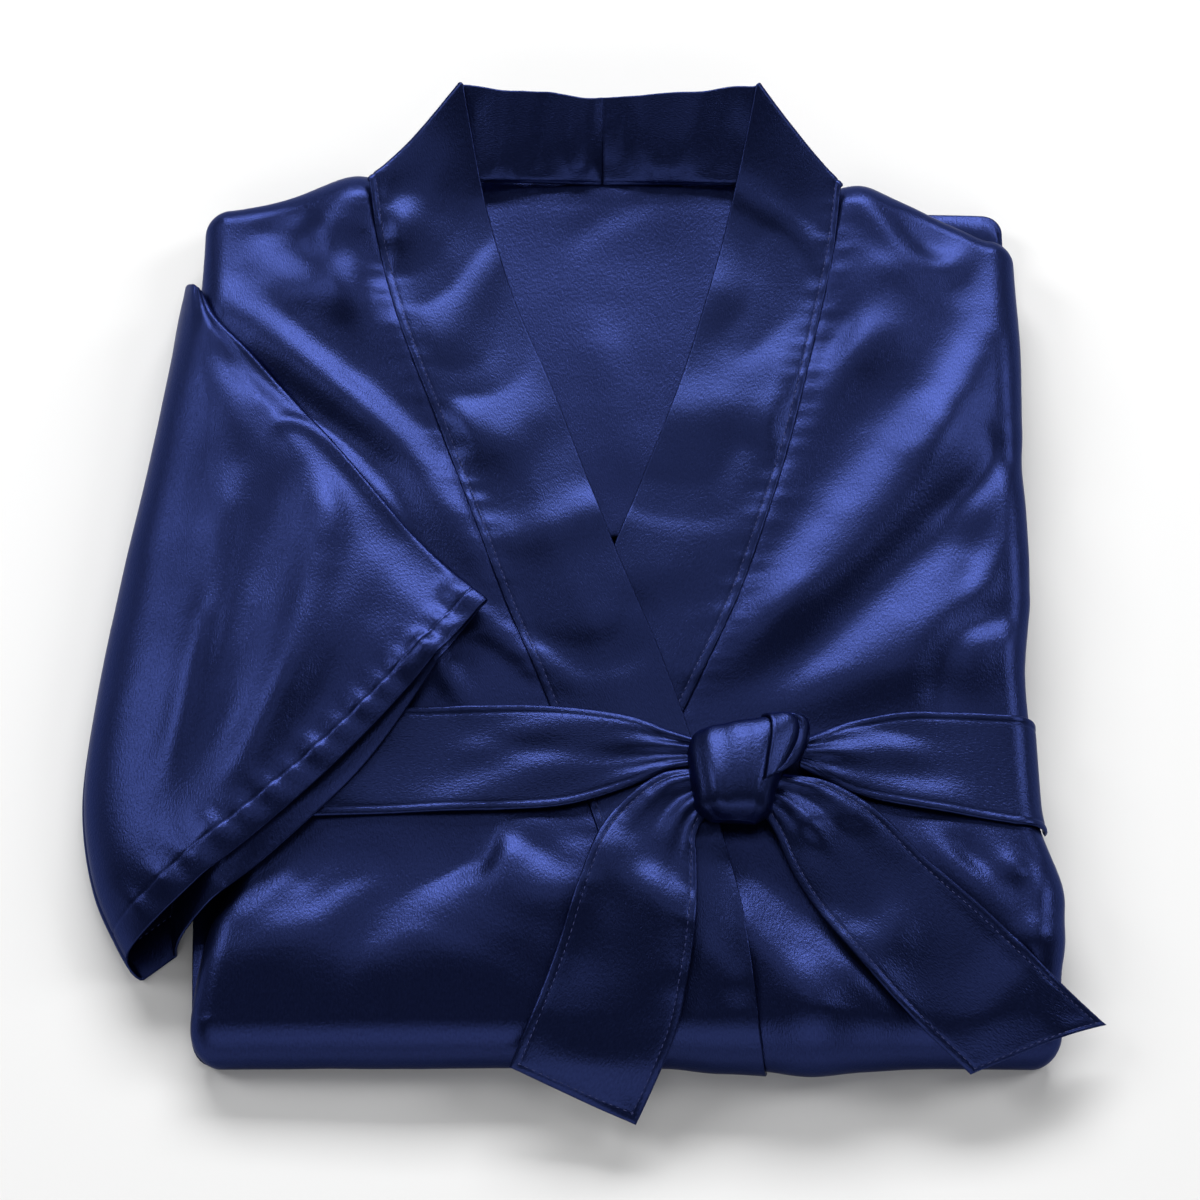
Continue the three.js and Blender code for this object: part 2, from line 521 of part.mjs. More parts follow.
// Heights of the sleeve's two layers. The lower one lies on the front, hangs over the side
// and reaches the table; the upper one swings out past it.
function sleeveRing(row, share) {
  const middleY = (row.foldY + row.outY) / 2;
  const dropX = lerp(sleeveDrop.cuffX, sleeveDrop.rootX, smooth(-20, 80, middleY));
  const breakX = Math.min(row.foldX - 1.5, dropX);
  const lowReach = Math.min(sleeveDrop.reach, dropX - row.outX - 3);
  const tableX = Math.min(breakX - 3, dropX - lowReach);
  const highReach = dropX - row.outX;
  const toward = new THREE.Vector2(row.outX - row.foldX, row.outY - row.foldY).normalize();
  const quarter = (distance, reach) => Math.sqrt(Math.max(0, 1 - (distance / reach) ** 2));

  const planAt = (x) => {
    const s = (row.foldX - x) / (row.foldX - row.outX);
    const bow = cuffBow * share * share * Math.sin(Math.PI * s);
    return {
      s,
      x: x - toward.y * bow,
      y: lerp(row.foldY, row.outY, s) + toward.x * bow,
    };
  };
  const topAt = ({ s, x, y }) => {
    const overBelt = smooth(-124, -111, y) * (1 - smooth(-55, -42, y));
    const raised = cuffRaise * smooth(0.7, 1, share) * (1 - smooth(0, 0.4, s));
    const lift = firstLift + levelStep + sleeveClear + beltRaise * overBelt + raised;
    return crown(x, y) + lift + foldLift(x, y);
  };
  const lowerAt = (x, place) => {
    const top = topAt(place);
    if (x > dropX) return top;
    return sleeveTable + (top - sleeveTable) * quarter(dropX - x, lowReach);
  };
  const upperAt = (x, place) => {
    const low = lowerAt(x, place);
    const top = topAt(place) + sleeveFoldGap;
    const hung = x > dropX ? top
      : sleeveOuterHeight + (top - sleeveOuterHeight) * quarter(dropX - x, highReach);
    const apart = Math.max(sleeveFoldGap, hung - low);
    const fold = sleeveFoldHeight(place.x, place.y) * smooth(0, 0.15, place.s);
    return low + lerp(sleeveFoldGap, apart, smooth(0, 0.4, place.s)) + fold;
  };
  const upperX = [
    ...evenSteps(6).map((t) => lerp(row.foldX, breakX, t)),
    ...evenSteps(5).slice(1).map((t) => lerp(breakX, row.outX, Math.sin(t * Math.PI / 2))),
  ];
  const lowerX = [
    ...evenSteps(6).map((t) => lerp(row.foldX, breakX, t)),
    ...evenSteps(4).slice(1).map((t) => lerp(breakX, tableX, Math.sin(t * Math.PI / 2))),
    row.outX,
  ];
  const upper = upperX.map((x) => {
    const place = planAt(x);
    return new THREE.Vector3(place.x, place.y, upperAt(x, place));
  });
  const lower = lowerX.map((x) => {
    const place = planAt(x);
    return new THREE.Vector3(place.x, place.y, lowerAt(x, place));
  });
  const nose = (high, low, out) => high.clone().lerp(low, 0.5)
    .add(new THREE.Vector3(toward.x * out, toward.y * out, 0));
  const outerNose = nose(upper[upper.length - 1], lower[lower.length - 1], 2);
  return [...upper, outerNose, ...lower.reverse(), nose(upper[0], lower[lower.length - 1], -1.2)];
}

function sleeve() {
  const rings = evenSteps(sleeveRings).map((share) => sleeveRing(rowAt(sleeveRows, share), share));
  return openTube(rings, wall);
}

// Stretch of the belt beside the knot, gathered into pleats where it narrows
function beltWrap(side, rows, sideEdge) {
  const columns = 6;
  const flat = evenSteps(12).map((share) => rowAt(rows, share));
  const outerRow = side < 0 ? rows[0] : rows[rows.length - 1];
  const sheet = flat.map((row) => evenSteps(columns).map((across) => {
    const y = lerp(row.upperY, row.lowerY, across);
    const toEdge = readTable(sideEdge, 'y', y, 'x') - outerRow.x;
    const x = row.x + toEdge * (1 - smooth(0, 50, Math.abs(row.x - outerRow.x)));
    const gather = Math.max(0, 1 - (row.upperY - row.lowerY) / beltWidth);
    const pleat = pleatHeight * gather * Math.cos(across * 6 * Math.PI);
    return onPacket(x, y, row.lift + pleat + foldLift(x, y));
  }));
  const rolled = rollSteps(sideRollSteps).map((roll) => evenSteps(columns).map((across) => {
    const y = lerp(outerRow.upperY, outerRow.lowerY, across);
    const lift = outerRow.lift + 0.5 * roll;
    return onPacket(readTable(sideEdge, 'y', y, 'x'), y, lift, side * roll, 0);
  }));
  return clothWall(side < 0 ? [...rolled, ...sheet] : [...sheet, ...rolled.reverse()], bandWall);
}

// Place on the packet, or on the droop of cloth that leaves it at an edge
function drape(x, y, lift) {
  const overSide = Math.max(0, x - readTable(leftFrontEdge, 'y', y, 'x'));
  const overFront = Math.max(0, frontY - y);
  const drop = (overSide ** 2 + overFront ** 2) / (2 * tailDroop);
  const base = crown(x - overSide, y + overFront) + foldLift(x - overSide, y + overFront);
  return new THREE.Vector3(x, y, base + lift - drop);
}

function beltTail(rows) {
  return clothWall(evenSteps(16).map((share) => {
    const row = rowAt(rows, share);
    return evenSteps(4).map((across) => drape(
      lerp(row.firstX, row.secondX, across),
      lerp(row.firstY, row.secondY, across),
      row.lift,
    ));
  }), bandWall);
}

// Point on the knot's skin: along runs down the knot, round goes once about it
function knotPoint(along, round, out = 0) {
  const row = rowAt(knotRows, along);
  const middle = (row.left + row.right) / 2;
  const angle = round * 2 * Math.PI;
  const square = (value) => Math.sign(value) * Math.abs(value) ** 0.7;
  const isTop = Math.sin(angle) > 0;
  const pleat = isTop ? 0.8 * Math.sin(angle) * Math.cos(knotPleats * 2 * angle + 2 * along) : 0;
  const halfWidth = (row.right - row.left) / 2 + out;
  const height = isTop ? row.height + pleat + out : knotRim;
  const base = crown(middle, row.y) + knotLift + knotRim;
  const acrossKnot = square(Math.cos(angle));
  const under = isTop ? 0 : Math.max(0, 1 - ((acrossKnot + 0.1) / 0.5) ** 2);
  return new THREE.Vector3(
    middle + halfWidth * acrossKnot,
    row.y,
    base + height * square(Math.sin(angle)) - knotDepth * under * Math.sin(Math.PI * along),
  );
}

function knot() {
  const sides = 20;
  return ringSolid(evenSteps(10).map((along) => Array.from(
    { length: sides },
    (_, j) => knotPoint(along, j / sides),
  )));
}

// Tongue of belt that laps over the knot's upper corner
function knotFold() {
  const tongue = { thickness: 2, clear: 0.9, from: 0.03, to: 0.24 };
  return clothWall(evenSteps(6).map((down) => evenSteps(6).map((over) => {
    const along = lerp(0.1 + 0.14 * over, 0.62 - 0.2 * over, down);
    return knotPoint(along, lerp(tongue.from, tongue.to, over), tongue.clear + tongue.thickness / 2);
  })), tongue.thickness);
}

// Places round the packet with the way out at each, front to back along each side in turn
function packetOutline(rightEdge, leftEdge, backLine) {
  const corner = evenSteps(4).slice(1, -1);
  const sideShares = evenSteps(13);
  const endShares = evenSteps(10);
  const xAt = (edge, y) => readTable(edge, 'y', y, 'x');
  const yBack = (x) => (backLine ? readTable(backLine, 'x', x, 'y') : backY);
  const places = [];
  const add = (x, y, angle) => {
    places.push({ x, y, outX: Math.cos(angle), outY: Math.sin(angle) });
  };
  const rightBackX = xAt(rightEdge, backY);
  const leftBackX = xAt(leftEdge, backY);
  const rightFrontX = xAt(rightEdge, frontY);
  const leftFrontX = xAt(leftEdge, frontY);
  sideShares.forEach((t) => {
    const y = lerp(yBack(rightBackX), frontY, t);
    add(xAt(rightEdge, y), y, Math.PI);
  });
  corner.forEach((t) => add(rightFrontX, frontY, Math.PI * (1 + t / 2)));
  endShares.forEach((t) => add(lerp(rightFrontX, leftFrontX, t), frontY, 1.5 * Math.PI));
  corner.forEach((t) => add(leftFrontX, frontY, Math.PI * (1.5 + t / 2)));
  sideShares.forEach((t) => {
    const y = lerp(frontY, yBack(leftBackX), t);
    add(xAt(leftEdge, y), y, 0);
  });
  corner.forEach((t) => add(leftBackX, yBack(leftBackX), Math.PI * t / 2));
  endShares.forEach((t) => {
    const x = lerp(leftBackX, rightBackX, t);
    add(x, yBack(x), Math.PI / 2);
  });
  corner.forEach((t) => add(rightBackX, yBack(rightBackX), Math.PI * (0.5 + t / 2)));
  return places;
}

function foldedLayers() {
  const low = packetOutline(hiddenRightEdge, hiddenLeftEdge, null);
  const high = packetOutline(rightFrontEdge, leftFrontEdge, shoulderLine);
  const arcs = [-0.44, 0, 0.4, 0.8, 1.2, Math.PI / 2];
  const shapeAt = (place) => {
    const front = place.outY < 0 ? place.outY ** 2 : 0;
    const radius = lerp(sideRoll.radius, frontRoll.radius, front);
    return { front, radius, inner: radius - hiddenClear, top: crown(place.x, place.y) };
  };
  const out = (place, reach, z) => new THREE.Vector3(
    place.x + place.outX * reach,
    place.y + place.outY * reach,
    z,
  );
  const rings = layerRows.map((row, level) => low.map((place, k) => {
    const shape = shapeAt(place);
    const start = shape.top - shape.radius + shape.inner * Math.sin(arcs[0]);
    const uneven = level > 0 ? layerUneven * Math.sin(k * 0.55 + level * 0.8) : 0;
    const frontInset = 4.4 + 7 * (1 - row.height) ** 2;
    const inset = lerp(row.inset + layerUneven + uneven, frontInset, shape.front);
    return out(place, shape.radius - inset, row.height * start * 0.94);
  }));
  arcs.forEach((angle) => rings.push(high.map((place) => {
    const shape = shapeAt(place);
    const z = shape.top - shape.radius + shape.inner * Math.sin(angle);
    return out(place, shape.inner * Math.cos(angle), z);
  })));
  [0.9, 0.72, 0.48, 0.24].forEach((share) => rings.push(high.map((place) => {
    const x = lerp(centreX, place.x, share);
    const y = place.y * share;
    return new THREE.Vector3(x, y, crown(x, y) - hiddenDip);
  })));
  return ringSolid(rings);
}

// Deep navy satin, a little lighter where the cloth is single
const satin = (colour) => new THREE.MeshStandardMaterial({
  color: colour,
  roughness: 0.4,
  metalness: 0.3,
});

const robe = new THREE.Group();
function addPiece(name, geometry, colour) {
  const piece = new THREE.Mesh(geometry, satin(colour));
  piece.name = name;
  robe.add(piece);
}

const rightSeam = seamEdge(-1, rightBandRows);
const leftSeam = seamEdge(1, leftBandRows);
const leftInner = [...leftSeam, ...tuckedEdge(-90, frontY, 6)];

addPiece('folded_layers', foldedLayers(), 0x141b40);
addPiece('back_panel', backPanel(), 0x1a2350);
addPiece('front_right', frontPanel(-1, rightFrontEdge, rightSeam), 0x1e2a5e);
addPiece('front_left', frontPanel(1, leftFrontEdge, leftInner), 0x1e2a5e);
addPiece('neckband_right', neckband(-1, rightBandRows, frontRollSteps), 0x1c2758);
addPiece('neckband_left', neckband(1, leftBandRows, 0), 0x1c2758);
addPiece('sleeve_right', sleeve(), 0x1e2a5e);
addPiece('belt_wrap_right', beltWrap(-1, rightWrapRows, rightFrontEdge), 0x1b2554);
addPiece('belt_wrap_left', beltWrap(1, leftWrapRows, leftFrontEdge), 0x1b2554);
addPiece('belt_tail_right', beltTail(rightTailRows), 0x1b2554);
addPiece('belt_tail_left', beltTail(leftTailRows), 0x1b2554);
addPiece('belt_knot', knot(), 0x1b2554);
addPiece('belt_knot_fold', knotFold(), 0x1b2554);

// Origin at the middle of the underside
const bounds = new THREE.Box3().setFromObject(robe);
const middle = bounds.getCenter(new THREE.Vector3());
robe.position.set(-middle.x, -middle.y, -bounds.min.z);

export default robe;
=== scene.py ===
import math

import bpy
import numpy as np
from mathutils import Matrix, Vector


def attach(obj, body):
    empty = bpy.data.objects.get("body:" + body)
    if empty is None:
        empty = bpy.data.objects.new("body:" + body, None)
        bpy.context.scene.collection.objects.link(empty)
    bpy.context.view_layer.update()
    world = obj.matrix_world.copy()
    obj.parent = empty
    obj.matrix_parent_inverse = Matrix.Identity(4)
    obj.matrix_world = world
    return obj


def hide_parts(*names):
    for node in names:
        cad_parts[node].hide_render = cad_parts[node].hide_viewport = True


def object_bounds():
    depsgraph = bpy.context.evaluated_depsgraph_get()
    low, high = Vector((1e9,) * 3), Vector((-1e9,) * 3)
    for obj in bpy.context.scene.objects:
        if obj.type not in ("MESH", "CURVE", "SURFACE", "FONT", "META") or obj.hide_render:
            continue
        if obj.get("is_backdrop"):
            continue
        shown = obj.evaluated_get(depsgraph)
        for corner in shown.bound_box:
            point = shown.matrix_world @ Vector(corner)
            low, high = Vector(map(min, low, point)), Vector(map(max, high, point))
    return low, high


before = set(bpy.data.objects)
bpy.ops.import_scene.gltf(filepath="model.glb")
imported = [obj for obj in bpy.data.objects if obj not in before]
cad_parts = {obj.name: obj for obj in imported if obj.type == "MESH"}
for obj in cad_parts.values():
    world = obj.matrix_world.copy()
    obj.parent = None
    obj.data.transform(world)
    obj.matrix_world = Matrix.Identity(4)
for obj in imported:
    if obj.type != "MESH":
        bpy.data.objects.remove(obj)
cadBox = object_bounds()

# Folded satin kimono robe. Shapes are worked out in millimetres, with the robe's right front at -X,
# the collar at +Y and the front fold of the skirt at -Y, and are moved to the frame when made a mesh.


# Small helpers
def toLinear(colour):  # sRGB hex to linear
    parts = [int(colour[i:i + 2], 16) / 255 for i in (1, 3, 5)]
    return [c / 12.92 if c <= 0.04045 else ((c + 0.055) / 1.055) ** 2.4 for c in parts] + [1.0]


def mix(start, end, share):
    return start + (end - start) * share


def smooth(low, high, value):
    t = np.clip((value - low) / (high - low), 0, 1)
    return t * t * (3 - 2 * t)


def hump(value, middle, width):
    return np.exp(-(((value - middle) / width) ** 2))


def keepAbove(value, lowest, blend=0.8):  # value, eased so that it never goes below a lowest value
    over = value - lowest
    return lowest + (over + np.sqrt(over * over + blend * blend)) / 2


def table(columns, rows):  # short table with named columns
    return dict(zip(columns.split(), np.array(rows, float).T))


def readTable(rows, key, at, column, blur=0.0):  # straight-line reading, corners blurred over some mm
    order = np.argsort(rows[key])
    offsets = np.linspace(-blur, blur, 7) if blur else (0.0,)
    read = [np.interp(at + offset, rows[key][order], rows[column][order]) for offset in offsets]
    return sum(read) / len(read)


def rowAt(rows, share):  # smooth reading of every column at a share of the way down the table
    count = len(next(iter(rows.values())))
    place = np.clip(share, 0, 1) * (count - 1)
    i = np.minimum(place.astype(int), count - 2)
    t = place - i
    read = {}
    for name, values in rows.items():
        start, end = values[i], values[i + 1]
        startSlope = (end - values[np.maximum(i - 1, 0)]) / 2
        endSlope = (values[np.minimum(i + 2, count - 1)] - start) / 2
        read[name] = (start + t * startSlope + t**2 * (3 * (end - start) - 2 * startSlope - endSlope)
                      + t**3 * (2 * (start - end) + startSlope + endSlope))
    return read


def softNoise(x, y, size, seed):  # gentle unevenness between -1 and 1, in patches of a size in mm
    lattice = np.random.default_rng(seed).uniform(-1, 1, (64, 64))
    u, v = x / size + 31.3, y / size + 27.9
    i, j = np.floor(u).astype(int), np.floor(v).astype(int)
    fu, fv = u - i, v - j
    fu, fv = fu**3 * (fu * (6 * fu - 15) + 10), fv**3 * (fv * (6 * fv - 15) + 10)
    corner = lambda di, dj: lattice[(i + di) % 64, (j + dj) % 64]
    return mix(mix(corner(0, 0), corner(1, 0), fu), mix(corner(0, 1), corner(1, 1), fu), fv)


def puckers(seed, length, spacing):  # uneven row of small humps along a seam
    rng = np.random.default_rng(seed)
    count = int(length / spacing) + 2
    places = (np.arange(count) + rng.uniform(-0.35, 0.35, count)) * spacing
    heights = rng.uniform(0.35, 1, count)
    widths = spacing * rng.uniform(0.2, 0.38, count)
    return lambda along: sum(h * hump(along, p, w) for p, h, w in zip(places, heights, widths))


# The folded packet
packet = {
    "wall": 1.2,  # single cloth
    "bandWall": 1.6,  # neckband and belt, cloth doubled
    "seamGap": 0.3,
    "layerGap": 0.6,
    "backY": 190, "frontY": -192, "centreX": 6,
    "crownHeight": 36.5, "crownDrop": 3.5, "halfWidth": 180,
    "sideRadius": 11, "sideAngle": 1.75,
    "frontRadius": 20, "frontAngle": 1.95, "frontSlope": 0.2,
    "frontFall": 4.5, "fallFrom": -132, "fallOver": 60,
    "beltY": -83, "pinchDepth": 2.6, "pinchReach": 40,
    "shiftX": 0.9, "shiftY": -3.3,  # from the sizes here to the middle of the whole robe
}
firstLift = 0.3 + packet["wall"] / 2
levelStep = packet["wall"] + packet["layerGap"]
bandStep = packet["bandWall"] + packet["layerGap"]
backY, frontY, centreX = packet["backY"], packet["frontY"], packet["centreX"]

rightFrontEdge = table("y x", [
    (190, -166), (60, -166), (-20, -158), (-58, -146), (-83, -138), (-108, -135),
    (-128, -140), (-152, -148), (-192, -156)])
leftFrontEdge = table("y x", [
    (190, 184), (-10, 183), (-32, 178), (-62, 180), (-106, 181), (-134, 191), (-165, 188), (-192, 188)])
hiddenRightEdge = table("y x", [(190, -165), (60, -164), (-192, -159)])
hiddenLeftEdge = table("y x", [(190, 184), (-60, 183), (-134, 187), (-192, 186)])
shoulderLine = table("x y", [
    (-166, 183), (-145, 186), (-112, 190), (128, 190), (150, 184), (184, 166)])


def edgeAt(edge, y):  # x of a side edge, its corners softened
    return readTable(edge, "y", y, "x", 9)


def crown(x, y):  # top of the hidden layers
    across = np.minimum(np.abs(x - centreX) / packet["halfWidth"], 1.05)
    along = np.minimum(np.abs(y) / -frontY, 1)
    pinch = packet["pinchDepth"] * hump(y, packet["beltY"], packet["pinchReach"])
    # the skirt slopes off to its front fold
    fall = packet["frontFall"] * np.clip((packet["fallFrom"] - y) / packet["fallOver"], 0, 1) ** 2
    drop = packet["crownDrop"]
    return packet["crownHeight"] - drop * across**3 - drop * along**3 - pinch - fall


def toSegment(ax, ay, bx, by, x, y):  # distance to the straight line between two points
    dx, dy = bx - ax, by - ay
    t = np.clip(((x - ax) * dx + (y - ay) * dy) / (dx * dx + dy * dy), 0, 1)
    return np.hypot(x - ax - t * dx, y - ay - t * dy)


def curveThrough(a, b, c):
    t = np.linspace(0, 1, 61)[:, None]
    a, b, c = np.array(a), np.array(b), np.array(c)
    return (1 - t) ** 2 * a + 2 * t * (1 - t) * (2 * b - (a + c) / 2) + t * t * c


def foldsOf(rows):  # soft ridges and troughs, each laid down as a row of overlapping mounds
    mounds = []
    for ax, ay, bx, by, cx, cy, width, height in zip(*rows.values()):
        line = curveThrough((ax, ay), (bx, by), (cx, cy))
        run = np.concatenate([[0], np.cumsum(np.hypot(*np.diff(line, axis=0).T))])
        count = max(3, int(math.ceil(run[-1] / (0.7 * width))))
        step = run[-1] / count
        middle = (np.arange(count) + 0.5) * step
        part = middle / run[-1]
        fade = smooth(0, 0.22, part) * (1 - smooth(0.78, 1, part))
        weight = height * fade * step / (width * math.sqrt(math.pi))
        places = [np.interp(middle, run, line[:, n]) for n in (0, 1)]
        mounds += [(x, y, w, width**2) for x, y, w in zip(*places, weight)]

    def heightAt(x, y):
        x, y = np.broadcast_arrays(x, y)
        total = np.zeros(x.shape)
        for mx, my, weight, square in mounds:
            total += weight * np.exp(-((x - mx) ** 2 + (y - my) ** 2) / square)
        return total
    return heightAt


panelFolds = table("ax ay bx by cx cy width height", [
    # right front, above the belt
    (-192, 160, -95, 74, -30, -21, 13, 5.4), (-113, 126, -133, 128, -48, 54, 7, -0.7),
    (-141, 65, -124, 74, -76, 20, 4, 1.8), (-39, -22, -59, -7, 4, -54, 5.5, 1.8),
    (-73, 218, -121, 181, -114, 158, 12.5, 5.4), (-92, 232, -112, 138, -85, 128, 14.5, 5.5),
    (-62, 168, -128, 187, -152, 185, 16, 5.4), (-154, 163, -122, 141, -125, 166, 15.5, 5.4),
    (-54, 182, -87, 115, -36, 91, 21, 5.4), (-178, 119, -112, 76, -66, 35, 8.5, -2.7),
    (-137, 186, -98, 113, -64, 77, 12, -1.6), (-126, 191, -109, 133, -109, 176, 7.5, 1.7),
    (-70, -52, -51, -23, -12, -55, 4, 1.1), (-72, -55, -70, -33, -47, -70, 5.5, 2.4),
    (-161, 178, -138, 180, -96, 187, 7, -1.4),
    # left front, above the belt
    (195, 176, 141, 44, 32, -53, 12.5, 4.1), (142, -56, 160, -18, 46, -105, 19.5, 4.4),
    (171, 114, 133, 47, 61, -30, 17, 4.9), (104, 232, 151, 161, 177, 182, 8, 2.3),
    (114, 244, 138, 126, 157, 102, 22, 5.5), (168, -29, 160, 28, 68, -63, 12.5, -2.3),
    (146, 114, 108, 105, 63, 6, 15, 5.3), (153, 83, 185, 70, 150, 29, 7.5, -2.7),
    (146, 68, 136, 43, 89, -6, 9, -1.6), (126, 133, 112, 120, 67, 20, 8.5, -3.1),
    (153, 82, 193, 61, 163, -19, 7, 2.6), (198, -13, 156, -30, 161, -86, 9, -3.2),
    (126, 152, 143, 156, 161, 132, 9.5, 1.8),
    # right front, below the belt
    (-106, -89, -139, -140, -165, -158, 10, -4), (-36, -130, -112, -112, -142, -145, 11.5, -4),
    (7, -77, -37, -135, 39, -134, 14, 3.3), (-181, -160, -44, -164, -2, -148, 22, 4),
    (-47, -60, -95, -123, -138, -156, 9, -2.7), (-113, -135, -54, -110, -120, -178, 14, -4),
    (-47, -108, -26, -117, -16, -129, 7, -1.8), (-69, -101, -153, -98, -152, -162, 6, 1.9),
    (-128, -118, -130, -131, -153, -158, 6.5, 2.4), (-96, -76, -110, -116, -128, -143, 5.5, -2.2),
    (-48, -89, -41, -117, -51, -135, 5, -2.1), (-17, -115, -4, -125, -2, -122, 6.5, 0.7),
    (-113, -210, -77, -154, 4, -195, 7, -0.4),
    # left front, below the belt
    (25, -148, 66, -160, 122, -239, 12, 4), (170, -91, 153, -134, 224, -187, 10, 4),
    (162, -129, 198, -146, 161, -181, 8, 3.4), (118, -152, 89, -201, 189, -118, 22, 4),
    (142, -106, 184, -138, 184, -114, 6.5, -2.5), (142, -183, 109, -135, 98, -174, 16, -2.3),
    (116, -129, 67, -119, 103, -148, 12.5, -3.7), (136, -127, 129, -139, 120, -150, 6, -1)])
pressedStrips = table("ax ay bx by halfWidth fade", [  # the belt and its tails keep the folds down
    (-180, -83, 200, -84, 13, 32), (45, -95, 2, -230, 14, 26), (80, -95, 195, -210, 14, 26)])
panelFoldHeight = foldsOf(panelFolds)
panelSink = -3.2  # how far the folds may sink


def foldLift(x, y):
    free = np.ones(np.shape(x))
    for ax, ay, bx, by, halfWidth, fade in zip(*pressedStrips.values()):
        free = free * smooth(halfWidth, halfWidth + fade, toSegment(ax, ay, bx, by, x, y))
    uneven = 0.35 * softNoise(x, y, 34, 3) + 0.12 * softNoise(x + y, x - y, 15, 4)
    return free * keepAbove(panelFoldHeight(x, y), panelSink) + (0.25 + 0.75 * free) * uneven


def onPacket(x, y, lift, rollX=0.0, rollY=0.0):  # rolls run from 0 on top to 1 or -1 down a side
    x, y, lift, rollX, rollY = np.broadcast_arrays(x, y, lift, rollX, rollY)
    far = np.maximum(np.abs(rollX), np.abs(rollY))
    length = np.maximum(np.hypot(rollX, rollY), 1e-9)
    outX, outY = rollX / length, rollY / length
    front = np.where(rollY < 0, outY**2, 0)
    radius = mix(packet["sideRadius"], packet["frontRadius"], front)
    start = packet["frontSlope"] * front
    angle = start + far * (mix(packet["sideAngle"], packet["frontAngle"], front) - start)
    reach = (radius + lift) * (np.sin(angle) - np.sin(start))
    z = crown(x, y) - radius * np.cos(start) + (radius + lift) * np.cos(angle)
    z = keepAbove(z + lift * (1 - np.cos(start)), 0.9, 0.5)  # the rolled end rests on the table
    return np.stack([x + outX * reach, y + outY * reach, z], axis=-1)


# Meshes
def linked(name, data):
    made = bpy.data.objects.new(name, data)
    bpy.context.collection.objects.link(made)
    return made


def toFrame(points):  # from the sizes here to metres in the frame
    return ((points + np.array([packet["shiftX"], packet["shiftY"], 0])) / 1000).tolist()


def makeObject(name, points, faces, uv=None):
    mesh = bpy.data.meshes.new(name)
    mesh.from_pydata(toFrame(points), [], faces)
    if uv is not None:  # 1 is 100 mm of cloth
        mesh.uv_layers.new(name="cloth").data.foreach_set("uv", np.asarray(uv, np.float32).ravel())
    mesh.polygons.foreach_set("use_smooth", [True] * len(mesh.polygons))
    mesh.update()
    return linked(name, mesh)


def unit(vectors):
    return vectors / np.maximum(np.linalg.norm(vectors, axis=-1, keepdims=True), 1e-9)


def walked(points, axis):  # mm from the first row or column of a sheet to each of the others
    steps = np.linalg.norm(np.diff(points, axis=axis), axis=2).mean(1 - axis)
    return np.concatenate([[0], np.cumsum(steps)])


def facing(middle, closed):  # direction that each point of a sheet faces
    down = np.gradient(middle, axis=0)
    if closed:
        across = np.roll(middle, -1, axis=1) - np.roll(middle, 1, axis=1)
    else:
        across = np.gradient(middle, axis=1)
    return unit(np.cross(down, across))


def clothShell(name, middle, half, closed=False, rootCap=False):
    # both faces of a sheet of cloth, meeting in a rounded edge where half the wall is 0
    rows, columns = middle.shape[:2]
    normal = facing(middle, closed)
    outer = middle + normal * half[..., None]
    inner = middle - normal * half[..., None]
    topIndex = np.arange(rows * columns).reshape(rows, columns)
    open_ = half > 1e-6
    underIndex = topIndex.copy()
    underIndex[open_] = rows * columns + np.arange(open_.sum())
    points = np.vstack([outer.reshape(-1, 3), inner[open_]])
    u, v = walked(middle, 1) / 100, walked(middle, 0) / 100
    if closed:
        u = np.append(u, u[-1] + u[1])
    last = columns if closed else columns - 1
    i, j = np.meshgrid(np.arange(rows - 1), np.arange(last), indexing="ij")
    i, j = i.ravel(), j.ravel()
    k = (j + 1) % columns
    faces, uv = [], []
    for index, order in ((topIndex, (0, 1, 2, 3)), (underIndex, (0, 3, 2, 1))):
        corners = [(index[i, j], u[j], v[i]), (index[i + 1, j], u[j], v[i + 1]),
                   (index[i + 1, k], u[j + 1], v[i + 1]), (index[i, k], u[j + 1], v[i])]
        faces.append(np.stack([corners[n][0] for n in order], axis=1))
        uv.append(np.stack([np.stack(corners[n][1:], axis=1) for n in order], axis=1))
    faceList = np.vstack(faces).tolist()
    uvList = np.vstack(uv).reshape(-1, 2)
    if rootCap:  # the end of a tube that is sewn shut
        for ring, flip in ((topIndex[0], False), (underIndex[0], True)):
            centre = points[ring].mean(0)
            points = np.vstack([points, centre])
            for n in range(columns):
                pair = [ring[n], ring[(n + 1) % columns]]
                faceList.append([len(points) - 1] + [int(p) for p in (pair[::-1] if flip else pair)])
        uvList = np.vstack([uvList, np.zeros((6 * columns, 2))])
    return makeObject(name, points, faceList, uvList), outer


def ringSolid(name, rings):  # solid through a stack of closed rings, rounded shut at both ends
    rows, columns = rings.shape[:2]
    points = np.vstack([rings.reshape(-1, 3), rings[0].mean(0), rings[-1].mean(0)])
    first = rows * columns
    faces, uv = [], []
    perimeter = walked(rings, 1)[-1] / 100
    v = walked(rings, 0) / 100
    for i in range(rows - 1):
        for j in range(columns):
            low, next_ = i * columns, (j + 1) % columns
            faces.append([low + j, low + next_, low + columns + next_, low + columns + j])
            left, right = j / columns * perimeter, (j + 1) / columns * perimeter
            uv += [(left, v[i]), (right, v[i]), (right, v[i + 1]), (left, v[i + 1])]
    for j in range(columns):
        k = (j + 1) % columns
        faces += [[first, k, j], [first + 1, first - columns + j, first - columns + k]]
        uv += [(0, 0)] * 6
    return makeObject(name, points, faces, uv)


